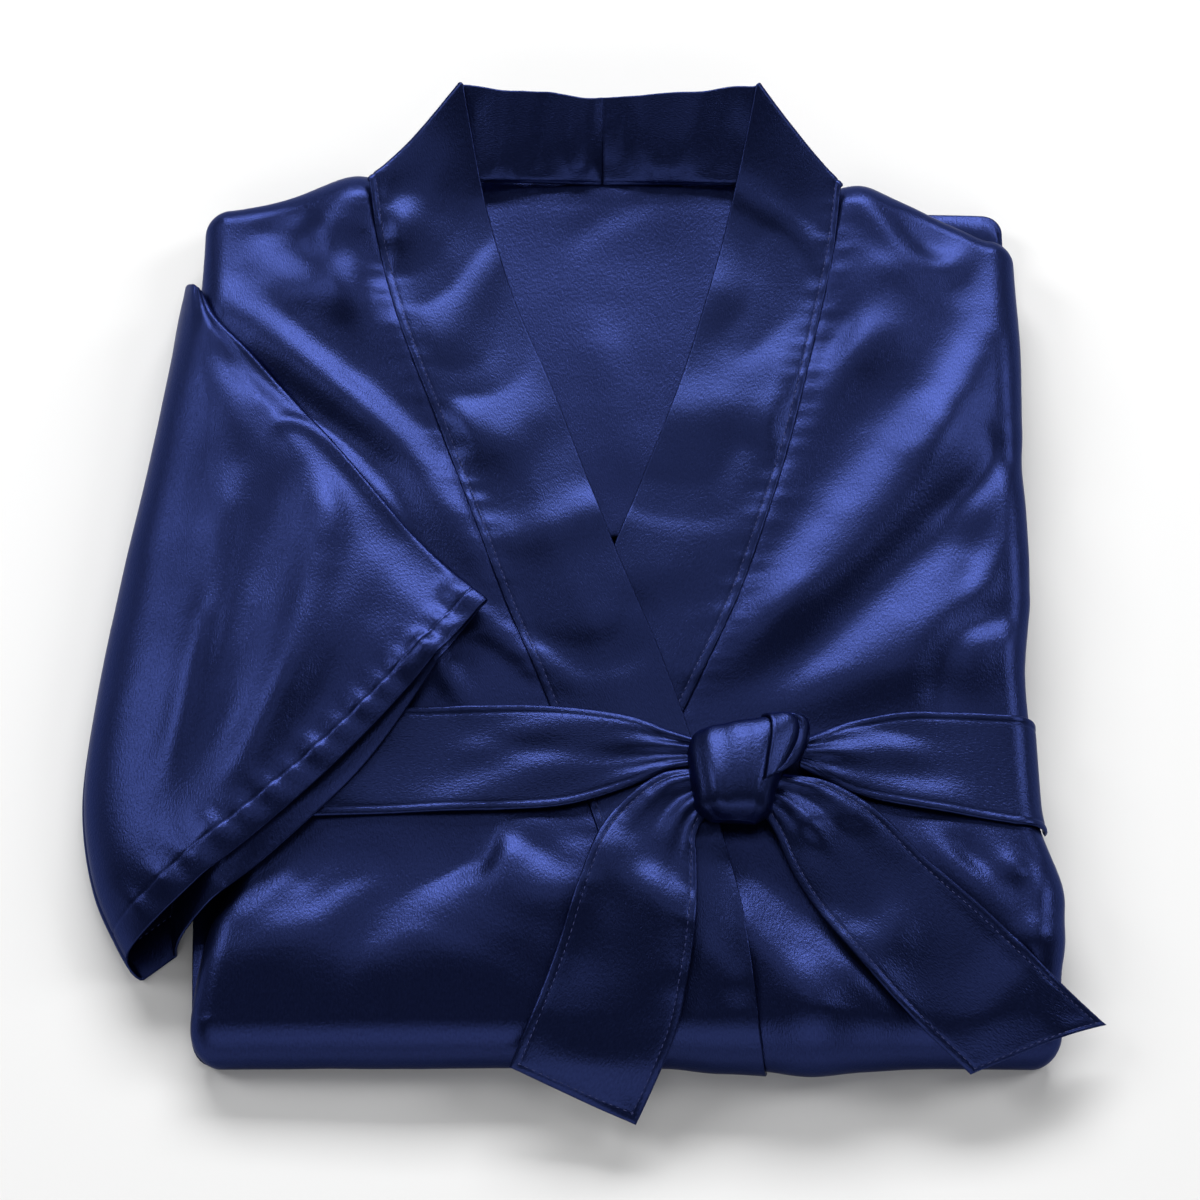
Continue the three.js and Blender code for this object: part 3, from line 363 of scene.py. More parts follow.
def spread(width, edge, middle):  # places across a strip in mm: fine steps at both edges, even between
    width = np.atleast_1d(np.asarray(width, float))[:, None]
    edge = np.array(edge)[None] * np.minimum(1, width / (2.6 * edge[-1]))
    between = np.linspace(0, 1, middle + 2)[1:-1][None]
    centre = edge[:, -1:] + between * (width - 2 * edge[:, -1:])
    return np.hstack([edge, centre, width - edge[:, ::-1]])


def edgeRound(distance, half):  # half the wall near an edge, rounded off to nothing
    return half * np.sqrt(np.clip(1 - (1 - np.minimum(distance / half, 1)) ** 2, 0, 1))


def hemmed(nearest, wall, rim):  # half the wall with its rolled rim
    return edgeRound(nearest, wall) * (1 + rim / wall * smooth(0, 1.2, nearest))


def hemPuff(distance, inset, puff, groove):  # rolled rim outside a line of stitches, sunk at the line
    rim = puff * np.sin(np.pi * np.clip(distance / inset, 0, 1)) ** 0.8
    return rim - groove * hump(distance, inset, 0.6)


plainEdge = [0, 0.08, 0.25, 0.6, 1.3, 2.6]
sewnEdge = [0, 0.08, 0.25, 0.55, 0.9, 1.5, 2.2, 2.9, 3.5, 4.1, 4.9, 6.2]
rollSteps = {"side": 12, "back": 14, "front": 34, "belt": 14}  # rows of points over a rounded edge
stitchLines = []  # lines of points that the threads follow


def addStitches(outer, facingWay, lift=0.08):
    stitchLines.append(outer + facingWay * lift)


# Front panels and the back
bands = {"rollDrift": 5, "tuckUnder": 13, "backPanelEnd": 22, "collarY": 236, "collarZ": 57,
         "turnRadius": 1.4, "seamY": 203, "seamSag": 5.5, "seamHalf": 108, "seamLift": 1.3,
         "stitchInset": 3.5, "seamUnder": 1.0, "bow": 3.5, "width": 56.0,
         "ease": 0.9}  # how far the neckband's own folds may sink
bandLengths = {-1: (430.0, 230), 1: (310.0, 170)}  # each half's length on the front, and its rows of points
rightBandRows = table("seamX seamY freeX freeY seamRise freeRise", [
    (-101, 197, -58, 241, 3, 24), (-96, 165, -48, 191, 0, 4), (-85, 124, -35, 144, 0, 0),
    (-66, 73, -16, 94, 0, 0), (-52, 34, -2, 54, 0, 0), (-38, -5, 12, 15, 0, 0), (-17, -56, 33, -38, 0, 0),
    (2, -107, 51, -94, 0, 0), (13, -150, 64, -144, 0, 0), (21, -192, 71, -192, 0, 0)])
leftBandRows = table("seamX seamY freeX freeY seamRise freeRise", [
    (116, 197, 77, 241, 3, 24), (112, 165, 66, 191, 0, 4), (102, 119, 54, 143, 0, 0),
    (90, 69, 39, 92, 0, 0), (77, 26, 23, 49, 0, 0), (62, -15, 12, 20, 0, 0), (34, -74, 5, 1, 0, 0)])


def seamTable(side, rows):  # the seam line of a neckband as x for each y
    read = rowAt(rows, np.linspace(0, 1, 300))
    gap = side * packet["seamGap"] * 1.2
    return {"y": read["seamY"], "x": read["seamX"] + gap}


def frontPanel(name, side, sideEdge, innerEdge):
    wall = packet["wall"] / 2
    rollSide = np.linspace(1, 0, rollSteps["side"], endpoint=False)
    rollBack = np.linspace(1, 0, rollSteps["back"], endpoint=False)
    rollFront = np.linspace(0, 1, rollSteps["front"])[1:]
    across = spread(160, plainEdge, 84)[0] / 160
    across = across[len(plainEdge) - 1:]
    across = (across - across[0]) / (across[-1] - across[0])
    flatY = np.linspace(backY, frontY, 212)
    atBack, atFront = np.full(len(rollBack), backY), np.full(len(rollFront), frontY)
    rowY = np.concatenate([atBack, flatY, atFront])[:, None]
    rollY = np.concatenate([rollBack, np.zeros(len(flatY)), -rollFront])[:, None]
    rollX = side * np.concatenate([rollSide, np.zeros(len(across))])[None]
    share = np.concatenate([np.zeros(len(rollSide)), across])[None]
    edgeX = edgeAt(sideEdge, rowY)
    innerX = readTable(innerEdge, "y", rowY, "x") - bands["rollDrift"] * np.minimum(rollY, 0)
    x = mix(edgeX, innerX - side * bands["seamUnder"], share)
    slope = readTable(shoulderLine, "x", x, "y", 6) - backY
    y = rowY + slope * smooth(110, backY, rowY)
    fromSeam = (1 - share) * np.abs(innerX - edgeX)
    dip = -0.5 * hump(fromSeam, 0, 2.0)
    gathers = puckers(11 + side, 420, 9)(backY - y + 20) * hump(fromSeam, 3, 7) * 0.35
    folds = foldLift(x, y) * (1 - 0.6 * np.abs(rollY)) * (1 - 0.8 * np.abs(rollX))
    lift = firstLift + folds + dip + gathers
    middle = onPacket(x, y, lift, rollX, rollY)
    toEnd, toSide = (np.minimum(far, far[-1] - far) for far in (walked(middle, 0), walked(middle, 1)))
    half = edgeRound(np.minimum(toEnd[:, None], toSide[None]), wall)
    return clothShell(name, middle, half)[0]


def tuckedEdge(fromY, toY):
    y = np.linspace(fromY, toY, 12)
    return y, readTable(rightBandRows, "freeY", y, "freeX") - bands["tuckUnder"]


def neckSeamY(x):
    return bands["seamY"] - bands["seamSag"] * (np.abs(x - centreX) / bands["seamHalf"]) ** 2.5


backFoldRows = table("ax ay bx by cx cy width height", [
    (-66, 206, 22, 194, 70, 218, 20, 1.5), (2, 132, 9, 110, 18, 44, 10.5, 1.2),
    (37, 185, 45, 110, 43, 56, 22, -1.5), (-2, 167, 1, 182, 32, 192, 8, -0.7)])
backFolds = foldsOf(backFoldRows)


def backPanel():
    rowY = np.linspace(bands["seamY"], bands["backPanelEnd"], 110)[:, None]
    share = np.linspace(0, 1, 90)[None]
    besideY = np.minimum(rowY, backY)
    start = readTable(rightBandRows, "freeY", besideY, "freeX", 5) - bands["tuckUnder"]
    end = readTable(leftBandRows, "freeY", besideY, "freeX", 5) + bands["tuckUnder"]
    x = mix(start, end, share)
    underBand = 2.5 + 4 * smooth(34, 52, np.abs(x - centreX))  # runs on under the standing neckband
    top = neckSeamY(x) + underBand
    down = (bands["seamY"] - rowY) / (bands["seamY"] - bands["backPanelEnd"])
    y = mix(top, bands["backPanelEnd"], down)
    gathers = puckers(21, 240, 11)(x + 100) * hump(top - y, 1, 7) * 0.6
    lift = firstLift + 0.35 * foldLift(x, y) + backFolds(x, y) + gathers - 0.9 * smooth(3.5, 0, top - y)
    middle = onPacket(x, y, lift)
    distance = np.minimum(np.minimum(top - y, y - bands["backPanelEnd"]),
                          np.minimum(share, 1 - share) * np.abs(end - start))
    half = edgeRound(np.maximum(distance, 0), packet["wall"] / 2)
    half[0], half[-1], half[:, 0], half[:, -1] = 0, 0, 0, 0
    return clothShell("backPanel", middle, half)[0]


# Neckband
bandFoldRows = table("ax ay bx by cx cy width height", [
    # right half
    (-76, 192, -99, 156, -59, 220, 10.5, 2.2), (-67, 148, -64, 114, -43, 176, 9, 1.5),
    (-99, 108, -41, 101, -36, 170, 10, -2.2), (-54, 57, -60, 80, -32, 61, 11.5, 2.2),
    (-78, 21, -23, 22, 20, 48, 11.5, 2.2), (-41, -28, 14, -33, 18, -1, 7.5, -2.2),
    (12, -116, 62, -109, 78, -109, 5, 2.2), (45, -152, 65, -184, 61, -121, 7.5, 2.2),
    (-91, 163, -73, 144, -35, 207, 10, -2.2), (-65, 75, -40, 62, -21, 95, 11.5, 1.8),
    # left half
    (118, 133, 102, 170, 48, 204, 7, 2.2), (90, 68, 70, 142, 33, 114, 16.5, 1.8),
    (117, 73, 38, 83, 61, 65, 15, 1.7), (58, 82, 64, 41, -11, 51, 10.5, -2.2),
    (108, 172, 67, 115, 103, 202, 13.5, -2.2)])
bandFolds = foldsOf(bandFoldRows)


def bandLevel(side, y, across):
    overBack = smooth(0.12, 0.6, across)
    if side > 0:
        return overBack * levelStep * smooth(-15, 8, y)
    overCrossing = smooth(-40, -14, y) * (1 - smooth(38, 75, y))
    return overBack * (bandStep + levelStep * overCrossing)


def neckband(name, side, rows, rolled):
    wall = packet["bandWall"] / 2
    width = bands["width"]
    across = (spread(width, sewnEdge, 22)[0] / width)[None]
    length, count = bandLengths[side]
    stations = spread(length, plainEdge, count)[0][:, None] / length
    if rolled:
        stations = stations[: -(len(plainEdge) - 1)] / stations[-len(plainEdge)]
    stations = stations[len(plainEdge) - 1:]
    stations = (stations - stations[0]) / (stations[-1] - stations[0])
    row = rowAt(rows, stations)
    rollY = np.zeros(stations.shape)
    if rolled:
        more = np.linspace(0, 1, rollSteps["front"])[1:, None]
        end = rowAt(rows, np.ones((1, 1)))
        row = {key: np.vstack([value, np.repeat(end[key], len(more), 0)]) for key, value in row.items()}
        rollY = np.vstack([rollY, -more])
    x = mix(row["seamX"], row["freeX"], across) + bands["rollDrift"] * np.abs(rollY)
    y = mix(row["seamY"], row["freeY"], across)
    seamPuckers = puckers(31 + side, 460, 10)(200 - y)
    fromSeam = across * width
    pucker = 0.45 * seamPuckers * hump(fromSeam, 4, 6) * smooth(0, 1.2, fromSeam)
    ownFolds = bands["ease"] + keepAbove(bandFolds(x, y), -bands["ease"], 0.5)
    lift = (firstLift + wall - packet["wall"] / 2 + bandLevel(side, y, across)
            + foldLift(x, y) * (1 - 0.6 * across) + mix(row["seamRise"], row["freeRise"], across**1.3)
            + ownFolds * smooth(0, 0.25, across) * (1 - np.abs(rollY)) + pucker)
    front = onPacket(x, y, lift, 0.0, rollY)

    foldLine = unit(front[0, -1] - front[0, 0])  # the fold at the side of the neck
    start = front[0]
    outward = start - front[2]
    outward = unit(outward - (outward @ foldLine)[:, None] * foldLine)
    upward = unit(np.cross(outward, foldLine) * side)
    turned = lambda angle: (start + outward * bands["turnRadius"] * math.sin(angle)
                            - upward * bands["turnRadius"] * (1 - math.cos(angle)))
    turn = [turned(math.pi * n / 10) for n in range(1, 10)]
    behind = turned(math.pi)

    centre = centreX - side * 0.9  # the halves meet in the seam at the centre back
    seamZ = crown(centreX, backY) + bands["seamLift"]
    share = np.linspace(0, 1, 62)[1:, None]
    j = across
    startX, startY, startZ = behind[None, :, 0], behind[None, :, 1], behind[None, :, 2]
    backX = mix(startX, centre, share)
    seamLineY = neckSeamY(backX)
    onSeam = mix(startY, seamLineY, smooth(0, 0.4, share))
    onFree = mix(startY, mix(seamLineY, bands["collarY"], j), share)
    backRowY = mix(onFree, onSeam, hump(j * width, 0, 5))
    backZ = mix(startZ, mix(seamZ, bands["collarZ"], j), share)
    stand = collarFolds(backX, j * width)  # soft upright folds of the standing part
    backRowY = backRowY - stand * (0.35 + 0.65 * np.sin(np.pi * np.clip(j * 0.8 + 0.1, 0, 1)))
    bow = bands["bow"] * np.sin(np.pi * j**0.75) * smooth(0, 0.3, share)
    backRowY = backRowY - 0.5 * bow
    backZ = backZ + 0.4 * stand + 0.85 * bow
    back = np.stack([backX, backRowY, backZ], axis=-1)
    middle = np.concatenate([back[::-1], behind[None], np.array(turn[::-1]), front])
    along = walked(middle, 0)
    toEnd = np.minimum(8 * along, along[-1] - along)[:, None]
    toSide = np.minimum(fromSeam, width - fromSeam)
    nearest = np.minimum(toEnd, toSide)
    rim = hemPuff(fromSeam, bands["stitchInset"], 0.12, 0.3)
    made, outer = clothShell(name, middle, hemmed(nearest, wall, rim))
    line = int(np.argmin(np.abs(across[0] * width - bands["stitchInset"])))
    way = side if outer[len(middle) // 2, line, 2] < middle[len(middle) // 2, line, 2] else 1
    cloth = middle - (outer - middle) if way == side and side > 0 else outer
    face = unit(cloth - middle)
    first = len(back) + len(turn) + 6
    addStitches(cloth[first:-4, line], face[first:-4, line])
    addStitches(cloth[2:len(back) - 2, line], face[2:len(back) - 2, line])
    return made


collarRows = table("place width height lean", [
    (-56, 7, -0.8, 0), (-41, 7, 1.7, 0.05), (-22, 5, -1.3, 0.12), (-4, 6.5, 2.0, 0.06), (5.6, 1.8, -0.7, 0),
    (14, 5, -0.8, 0.15), (26, 7, 1.3, -0.2), (44, 8, 1.7, 0.25), (63, 7, -1.2, 0.1), (78, 6, 0.9, 0)])


def collarFolds(x, up):  # upright folds behind the neck, and the fine gathers along its seam
    total = np.zeros(np.shape(mix(x, x, up)))
    for place, width, height, lean in zip(*collarRows.values()):
        total = total + 1.5 * height * hump(x, place + lean * (up - 25), width)
    return total * smooth(2, 16, up) + 0.8 * puckers(27, 240, 7)(x + 110) * hump(up, 7.5, 5)


# Sleeve
sleeveRows = table("foldX foldY outX outY", [
    (-178, 148, -187, 157), (-171, 131, -192, 116), (-152, 110, -200, 62), (-129, 83, -209, 8),
    (-106, 55, -216, -46), (-83, 26, -219, -92), (-62, 3, -212, -132), (-45, -13, -197, -163)])
sleeveSizes = {"foldGap": 2.8, "puff": 2.4, "lowerShow": 9, "table": 1.4, "outerHeight": 9,
               "rootDropX": -171, "cuffDropX": -163, "reach": 22, "clear": 0.4, "beltRaise": 4.4,
               "cuffBow": 8, "cuffRaise": 2.5, "hem": 16, "length": 250}
sleeveFoldRows = table("ax ay bx by cx cy width height", [
    (-114, 62, -128, -40, -164, -110, 11, 5.2), (-158, 70, -166, -20, -186, -108, 9, 3.4),
    (-92, 26, -112, -30, -132, -62, 10, 1.6), (-172, 138, -168, 100, -150, 60, 10, 2.4),
    (-138, 60, -148, 0, -164, -60, 9, -1.6)])
sleeveFoldHeight = foldsOf(sleeveFoldRows)
cuffPuckers = table("place width height", [
    (9, 4, 0.9), (20, 4.5, 1.3), (33, 4, 0.9), (45, 5, 1.5), (58, 4, 1.0), (70, 4.5, 1.4), (84, 5, 1.0),
    (98, 5, 1.6), (112, 4, 1.0), (124, 5, 1.5), (139, 4.5, 1.1), (152, 5, 1.4), (168, 4.5, 1.0),
    (182, 5, 1.3), (197, 4, 0.8)])


def sleeve():
    s = sleeveSizes
    wall = packet["wall"] / 2
    fromCuff = [0, 0.08, 0.25, 0.6, 1.2, 2.2, 4, 6, 8, 10, 12, 13.4, 14.6, 15.4, 16, 16.6, 17.4, 18.8, 21]
    rest = np.linspace(21, s["length"], 118)[1:]
    share = (1 - np.concatenate([fromCuff, rest])[::-1] / s["length"])[:, None]
    row = rowAt(sleeveRows, share)
    middleY = (row["foldY"] + row["outY"]) / 2
    dropX = mix(s["cuffDropX"], s["rootDropX"], smooth(-20, 80, middleY))
    breakX = np.minimum(row["foldX"] - 1.5, dropX)
    lowReach = np.minimum(s["reach"], dropX - row["outX"] - 3)
    tableX = np.minimum(breakX - 3, dropX - lowReach)
    highReach = dropX - row["outX"]
    spanX, spanY = row["outX"] - row["foldX"], row["outY"] - row["foldY"]
    span = np.hypot(spanX, spanY)
    towardX, towardY = spanX / span, spanY / span
    hemLine = s["length"] * (1 - share)  # mm from the cuff
    quarter = lambda distance, reach: np.sqrt(np.maximum(0, 1 - (distance / reach) ** 2))

    def planAt(x, beyond=0.0):
        part = (row["foldX"] - x) / (row["foldX"] - row["outX"])
        bow = s["cuffBow"] * share**2 * np.sin(np.pi * part) + beyond * share**8 * smooth(0.05, 0.5, part)
        return part, x - towardY * bow, mix(row["foldY"], row["outY"], part) + towardX * bow

    def topAt(part, x, y):
        overBelt = smooth(-160, -112, y) * (1 - smooth(-55, 25, y))
        raised = s["cuffRaise"] * smooth(0.7, 1, share) * (1 - smooth(0, 0.4, part))
        lift = firstLift + levelStep + s["clear"] + s["beltRaise"] * overBelt
        return crown(x, y) + lift + raised + foldLift(x, y)

    def lowerAt(x, place):
        top = topAt(*place)
        fall = s["table"] + (top - s["table"]) * quarter(np.maximum(dropX - x, 0), lowReach)
        return np.where(x > dropX, top, fall)

    def upperAt(x, place):
        part, px, py = place
        low, top = lowerAt(x, place), topAt(*place) + s["foldGap"]
        fall = s["outerHeight"] + (top - s["outerHeight"]) * quarter(np.maximum(dropX - x, 0), highReach)
        hung = np.where(x > dropX, top, fall)
        apart = np.maximum(s["foldGap"], hung - low)
        fold = sleeveFoldHeight(px, py) * smooth(0, 0.15, part)
        ruffle = 0
        for along, width, height in zip(*cuffPuckers.values()):
            ruffle = ruffle + height * hump(part * span, along, width)
        tight = hump(hemLine, s["hem"] - 1, 9) * smooth(0, 3, hemLine) * smooth(0.02, 0.08, part)
        uneven = 0.5 * softNoise(px, py, 26, 8) * smooth(0, 0.2, part)
        rise = s["puff"] * smooth(0, 0.12, part) + fold + 1.5 * ruffle * tight + uneven
        least = s["foldGap"] * 0.75 - mix(s["foldGap"], apart, smooth(0, 0.4, part))
        return low + mix(s["foldGap"], apart, smooth(0, 0.4, part)) + keepAbove(rise, least, 1.0)

    even = np.linspace(0, 1, 64)[None]
    curl = np.sin(np.linspace(0, 1, 40)[None, 1:] * np.pi / 2)
    upperX = np.hstack([mix(row["foldX"], breakX, even), mix(breakX, row["outX"], curl)])
    lowerX = np.hstack([mix(row["foldX"], breakX, even), mix(breakX, tableX, curl),
                        mix(tableX, row["outX"], np.linspace(0, 1, 12)[None, 1:])])
    place = planAt(upperX)
    upper = np.stack([place[1], place[2], upperAt(upperX, place)], axis=-1)
    place = planAt(lowerX, s["lowerShow"])
    inner = 0.5 * softNoise(place[1], place[2], 18, 9) * smooth(60, 0, hemLine)
    lowerZ = lowerAt(lowerX, place) + np.abs(inner) * (lowerX < dropX)
    lower = np.stack([place[1], place[2], lowerZ], axis=-1)
    toward = np.stack([towardX, towardY, np.zeros(towardX.shape)], axis=-1)

    def nose(high, low, out):
        angles = np.linspace(0, np.pi, 7)[1:-1][None, :, None]
        centre, rise = (high + low)[:, None] / 2, (high - low)[:, None] / 2
        return centre + rise * np.cos(angles) + toward * out * np.sin(angles)

    outerNose = nose(upper[:, -1], lower[:, -1], 2)
    foldNose = nose(lower[:, 0], upper[:, 0], -1.2)
    middle = np.concatenate([upper, outerNose, lower[:, ::-1], foldNose], axis=1)
    half = edgeRound(hemLine, wall) + hemPuff(hemLine, s["hem"], 0.15, 0.3) * smooth(0, 2, hemLine)
    half = np.repeat(half, middle.shape[1], axis=1)
    made, outer = clothShell("rightSleeve", middle, half, closed=True, rootCap=True)
    line = int(np.argmin(np.abs(hemLine[:, 0] - s["hem"])))
    face = unit(outer - middle)
    addStitches(outer[line], face[line])
    innerCloth = middle - (outer - middle)
    lowFirst = upper.shape[1] + outerNose.shape[1]
    addStitches(innerCloth[line, lowFirst:lowFirst + 60], -face[line, lowFirst:lowFirst + 60])
    return made


# Belt
belt = {"width": 48, "stitchInset": 3.5, "rim": 0.14, "groove": 0.25}
rightWrapRows = table("x upperY lowerY lift", [
    (-138, -58, -108, 4), (-81, -58, -106, 3), (-34, -57, -105, 3.4), (-8, -59, -103, 5.2),
    (18, -63, -95, 5.6), (34, -69, -89, 6.4), (49, -75, -86, 8.3)])
leftWrapRows = table("x upperY lowerY lift", [
    (90, -75, -87, 8.3), (104, -68, -93, 4.6), (118, -63, -99, 3.2), (143, -59, -104, 3),
    (180, -60, -110, 3)])
wrapPleats = {  # across, width and height of the pleats that run into the knot
    -1: ((0.12, 0.08, 1.4), (0.4, 0.11, 2.5), (0.66, 0.06, 0.8), (0.85, 0.09, 1.8)),
    1: ((0.14, 0.09, 1.4), (0.45, 0.12, 2.4), (0.82, 0.1, 1.9)),
}
beltFoldRows = table("ax ay bx by cx cy width height", [
    (-65, -85, -3, -67, 39, -84, 7, 1.7), (-84, -119, -9, -83, 21, -87, 11.5, 2.4),
    (-60, -68, 10, -81, 54, -70, 5.5, -0.9), (151, -86, 117, -76, 70, -82, 7, 2.1),
    (169, -101, 119, -93, 114, -73, 8.5, 2.4), (137, -88, 111, -81, 78, -78, 5, 0.9),
    (-95, -63, -123, -96, -91, -86, 11.5, 2.4), (-114, -91, -93, -52, -83, -82, 12.5, 2.4),
    (146, -57, 118, -57, 173, -67, 8.5, -2.4)])
beltFolds = foldsOf(beltFoldRows)


def beltWrap(name, side, rows, sideEdge):
    wall = packet["bandWall"] / 2
    share = np.linspace(0, 1, 110 if side < 0 else 70)[:, None]
    row = rowAt(rows, share)
    outer = {key: (values[0] if side < 0 else values[-1]) for key, values in rows.items()}
    width = row["upperY"] - row["lowerY"]
    places = spread(width[:, 0], sewnEdge, 18)
    across = places / width
    y = mix(row["upperY"], row["lowerY"], across)
    toEdge = edgeAt(sideEdge, y) - outer["x"]
    x = row["x"] + toEdge * (1 - smooth(0, 50, np.abs(row["x"] - outer["x"])))
    gather = smooth(0, 0.75, 1 - width / belt["width"])
    pleats = sum(height * hump(across, place, spreadOf) for place, spreadOf, height in wrapPleats[side])
    ownFolds = keepAbove(beltFolds(x, y), -0.5, 0.6) * (1 - 0.7 * gather)
    lift = row["lift"] + gather * (pleats - 0.6) + foldLift(x, y) + ownFolds
    sheetPart = onPacket(x, y, lift)
    roll = np.linspace(1, 0, rollSteps["belt"], endpoint=False)[:, None]
    outerWidth = outer["upperY"] - outer["lowerY"]
    outerPlaces = spread(outerWidth, sewnEdge, 18)
    outerY = outer["upperY"] - outerPlaces
    outerX = edgeAt(sideEdge, outerY)
    edgeLift = outer["lift"] + 0.5 * roll + foldLift(outerX, outerY)
    rolled = onPacket(outerX, outerY, edgeLift, side * roll)
    middle = np.concatenate([rolled, sheetPart] if side < 0 else [sheetPart, rolled[::-1]])
    allPlaces = np.concatenate([np.repeat(outerPlaces, len(roll), 0), places] if side < 0
                               else [places, np.repeat(outerPlaces, len(roll), 0)])
    total = allPlaces[:, -1:]
    along = walked(middle, 0)
    toEnd = np.minimum(along, along[-1] - along)[:, None]
    toSide = np.minimum(allPlaces, total - allPlaces)
    inset = belt["stitchInset"] * np.minimum(1, total / (2.6 * sewnEdge[-1]))
    rim = hemPuff(toSide, inset, belt["rim"], belt["groove"])
    nearest = np.minimum(toEnd, toSide)
    made, top = clothShell(name, middle, hemmed(nearest, wall, rim))
    face = unit(top - middle)
    for line in (sewnEdge.index(3.5), middle.shape[1] - 1 - sewnEdge.index(3.5)):
        addStitches(top[3:-3, line], face[3:-3, line])
    return made


rightTailRows = table("firstX firstY secondX secondY lift", [
    (51, -88, 52, -107, 9.2), (32, -90, 46, -118, 8.9), (16, -101, 46, -130, 7.6), (5, -115, 46, -143, 6),
    (-4, -138, 45, -158, 5.4), (-12, -163, 42, -178, 5.3), (-22, -190, 36, -203, 5),
    (-33, -214, 20, -236, 4.6)])
leftTailRows = table("firstX firstY secondX secondY lift", [
    (71, -104, 84, -91, 9.2), (79, -117, 103, -94, 8.6), (87, -135, 124, -107, 6.2),
    (101, -156, 144, -127, 3.8), (121, -180, 171, -152, 3.1), (141, -200, 195, -176, 3.1),
    (160, -216, 219, -193, 3.1)])
tailFall, tailReach = 21, 50  # mm that an end sinks beyond the packet, and over how far
tailSink = {-1: -2.2, 1: -1.2}  # how far a tail's folds may sink
tailLength = {-1: 158.0, 1: 176.0}
tailPleats = {
    -1: ((0.2, 0.08, 2.0), (0.42, 0.07, -1.2), (0.62, 0.09, 2.2), (0.84, 0.07, 1.2)),
    1: ((0.18, 0.07, 1.4), (0.4, 0.09, 2.2), (0.62, 0.06, -1.2), (0.82, 0.08, 1.8)),
}
tailFoldRows = table("ax ay bx by cx cy width height", [
    # tail over the front
    (2, -99, 17, -125, 34, -105, 7, 1.2), (-12, -105, 32, -147, 68, -155, 10, 2.6),
    (-42, -176, -12, -166, 6, -180, 14, -2.6), (24, -132, 38, -186, 41, -142, 11, 2.6),
    (-30, -196, 0, -214, 36, -206, 12, 2.2),
    # tail over the left side
    (102, -117, 90, -113, 132, -105, 7, 1.6), (64, -105, 115, -145, 146, -124, 14.5, -2.6),
    (92, -142, 124, -168, 126, -135, 9.5, 1.8), (131, -170, 155, -165, 152, -111, 15.5, -2.5),
    (150, -206, 168, -196, 190, -166, 11, 2.4)])
tailFolds = foldsOf(tailFoldRows)


def drape(x, y, lift):  # on the packet, or on the droop of cloth that leaves it at an edge
    overSide = np.maximum(0, x - edgeAt(leftFrontEdge, y))
    overFront = np.maximum(0, frontY - y)
    over = np.hypot(overSide, overFront)
    drop = tailFall * smooth(0, tailReach, over) + packet["frontSlope"] * overFront * smooth(24, 0, over)
    insideX, insideY = x - overSide, y + overFront
    near = smooth(24, 0, over)
    return np.stack([x, y, crown(insideX, insideY) + near * foldLift(x, y) + lift - drop], axis=-1)


def beltTail(name, side, rows, seed):
    wall = packet["bandWall"] / 2
    length = tailLength[side]
    share = (spread(length, sewnEdge, 84)[0] / length)[:, None]
    row = rowAt(rows, share)
    width = np.hypot(row["secondX"] - row["firstX"], row["secondY"] - row["firstY"])
    places = spread(width[:, 0], sewnEdge, 22)
    across = places / width
    x = mix(row["firstX"], row["secondX"], across)
    y = mix(row["firstY"], row["secondY"], across)
    gather = 1 - smooth(0.0, 0.62, share)
    pleats = sum(height * hump(across, place, spreadOf) for place, spreadOf, height in tailPleats[side])
    sway = 0.8 * softNoise(x, y, 30, seed) + 0.5 * np.sin(share * 7 + across * 2.4 + seed)
    toSide = np.minimum(places, width - places)
    ruffle = 0.4 * puckers(seed + 3, 180, 11)(share * length) * hump(toSide, 4, 5)
    moved = gather * pleats + sway * smooth(0.15, 0.5, share) + ruffle + tailFolds(x, y)
    lift = row["lift"] + 0.8 + keepAbove(moved, tailSink[side] * (1 - 0.4 * gather), 0.8)
    middle = drape(x, y, lift)
    toEnd = (1 - share) * length
    nearest = np.minimum(np.minimum(toSide, toEnd), share * length)
    inset = belt["stitchInset"] * np.minimum(1, width / (2.6 * sewnEdge[-1]))
    rimDistance = np.minimum(toSide, toEnd * inset / belt["stitchInset"])
    rim = hemPuff(rimDistance, inset, belt["rim"] * 1.3, belt["groove"])
    made, top = clothShell(name, middle, hemmed(nearest, wall, rim))
    cloth = top if top[40, 20, 2] > middle[40, 20, 2] else 2 * middle - top
    face = unit(cloth - middle)
    line, rowLine = sewnEdge.index(3.5), len(share) - 1 - sewnEdge.index(3.5)
    far = middle.shape[1] - 1 - line
    for place in ((slice(12, rowLine + 1), line), (slice(12, rowLine + 1), far),
                  (rowLine, slice(line, far + 1))):
        addStitches(cloth[place], face[place])
    return made


# Knot
knotRows = table("leftX leftY rightX rightY height", [
    (53, -71, 82, -65.5, 4), (45.5, -73.5, 88, -67, 9), (42.5, -81, 88, -75, 12.6), (43, -91, 84, -87, 15),
    (44.5, -101, 80, -99, 15.6), (46, -108.5, 77, -109.5, 12.4), (52, -113, 71, -114, 4)])
knotSizes = {"lift": 10.4, "rim": 0.8, "depth": 5}
knotCreases = (  # where each crease starts and ends round the knot, its width and its depth
    (0.33, 0.23, 0.034, 1.5), (0.23, 0.19, 0.03, 0.9), (0.41, 0.35, 0.03, 1.2), (0.17, 0.13, 0.03, 0.7))
twist = {"from": 0.02, "to": 0.66, "inner": (0.2, 0.15), "outer": (0.12, -0.03), "out": 1.5, "lobe": 4.5}


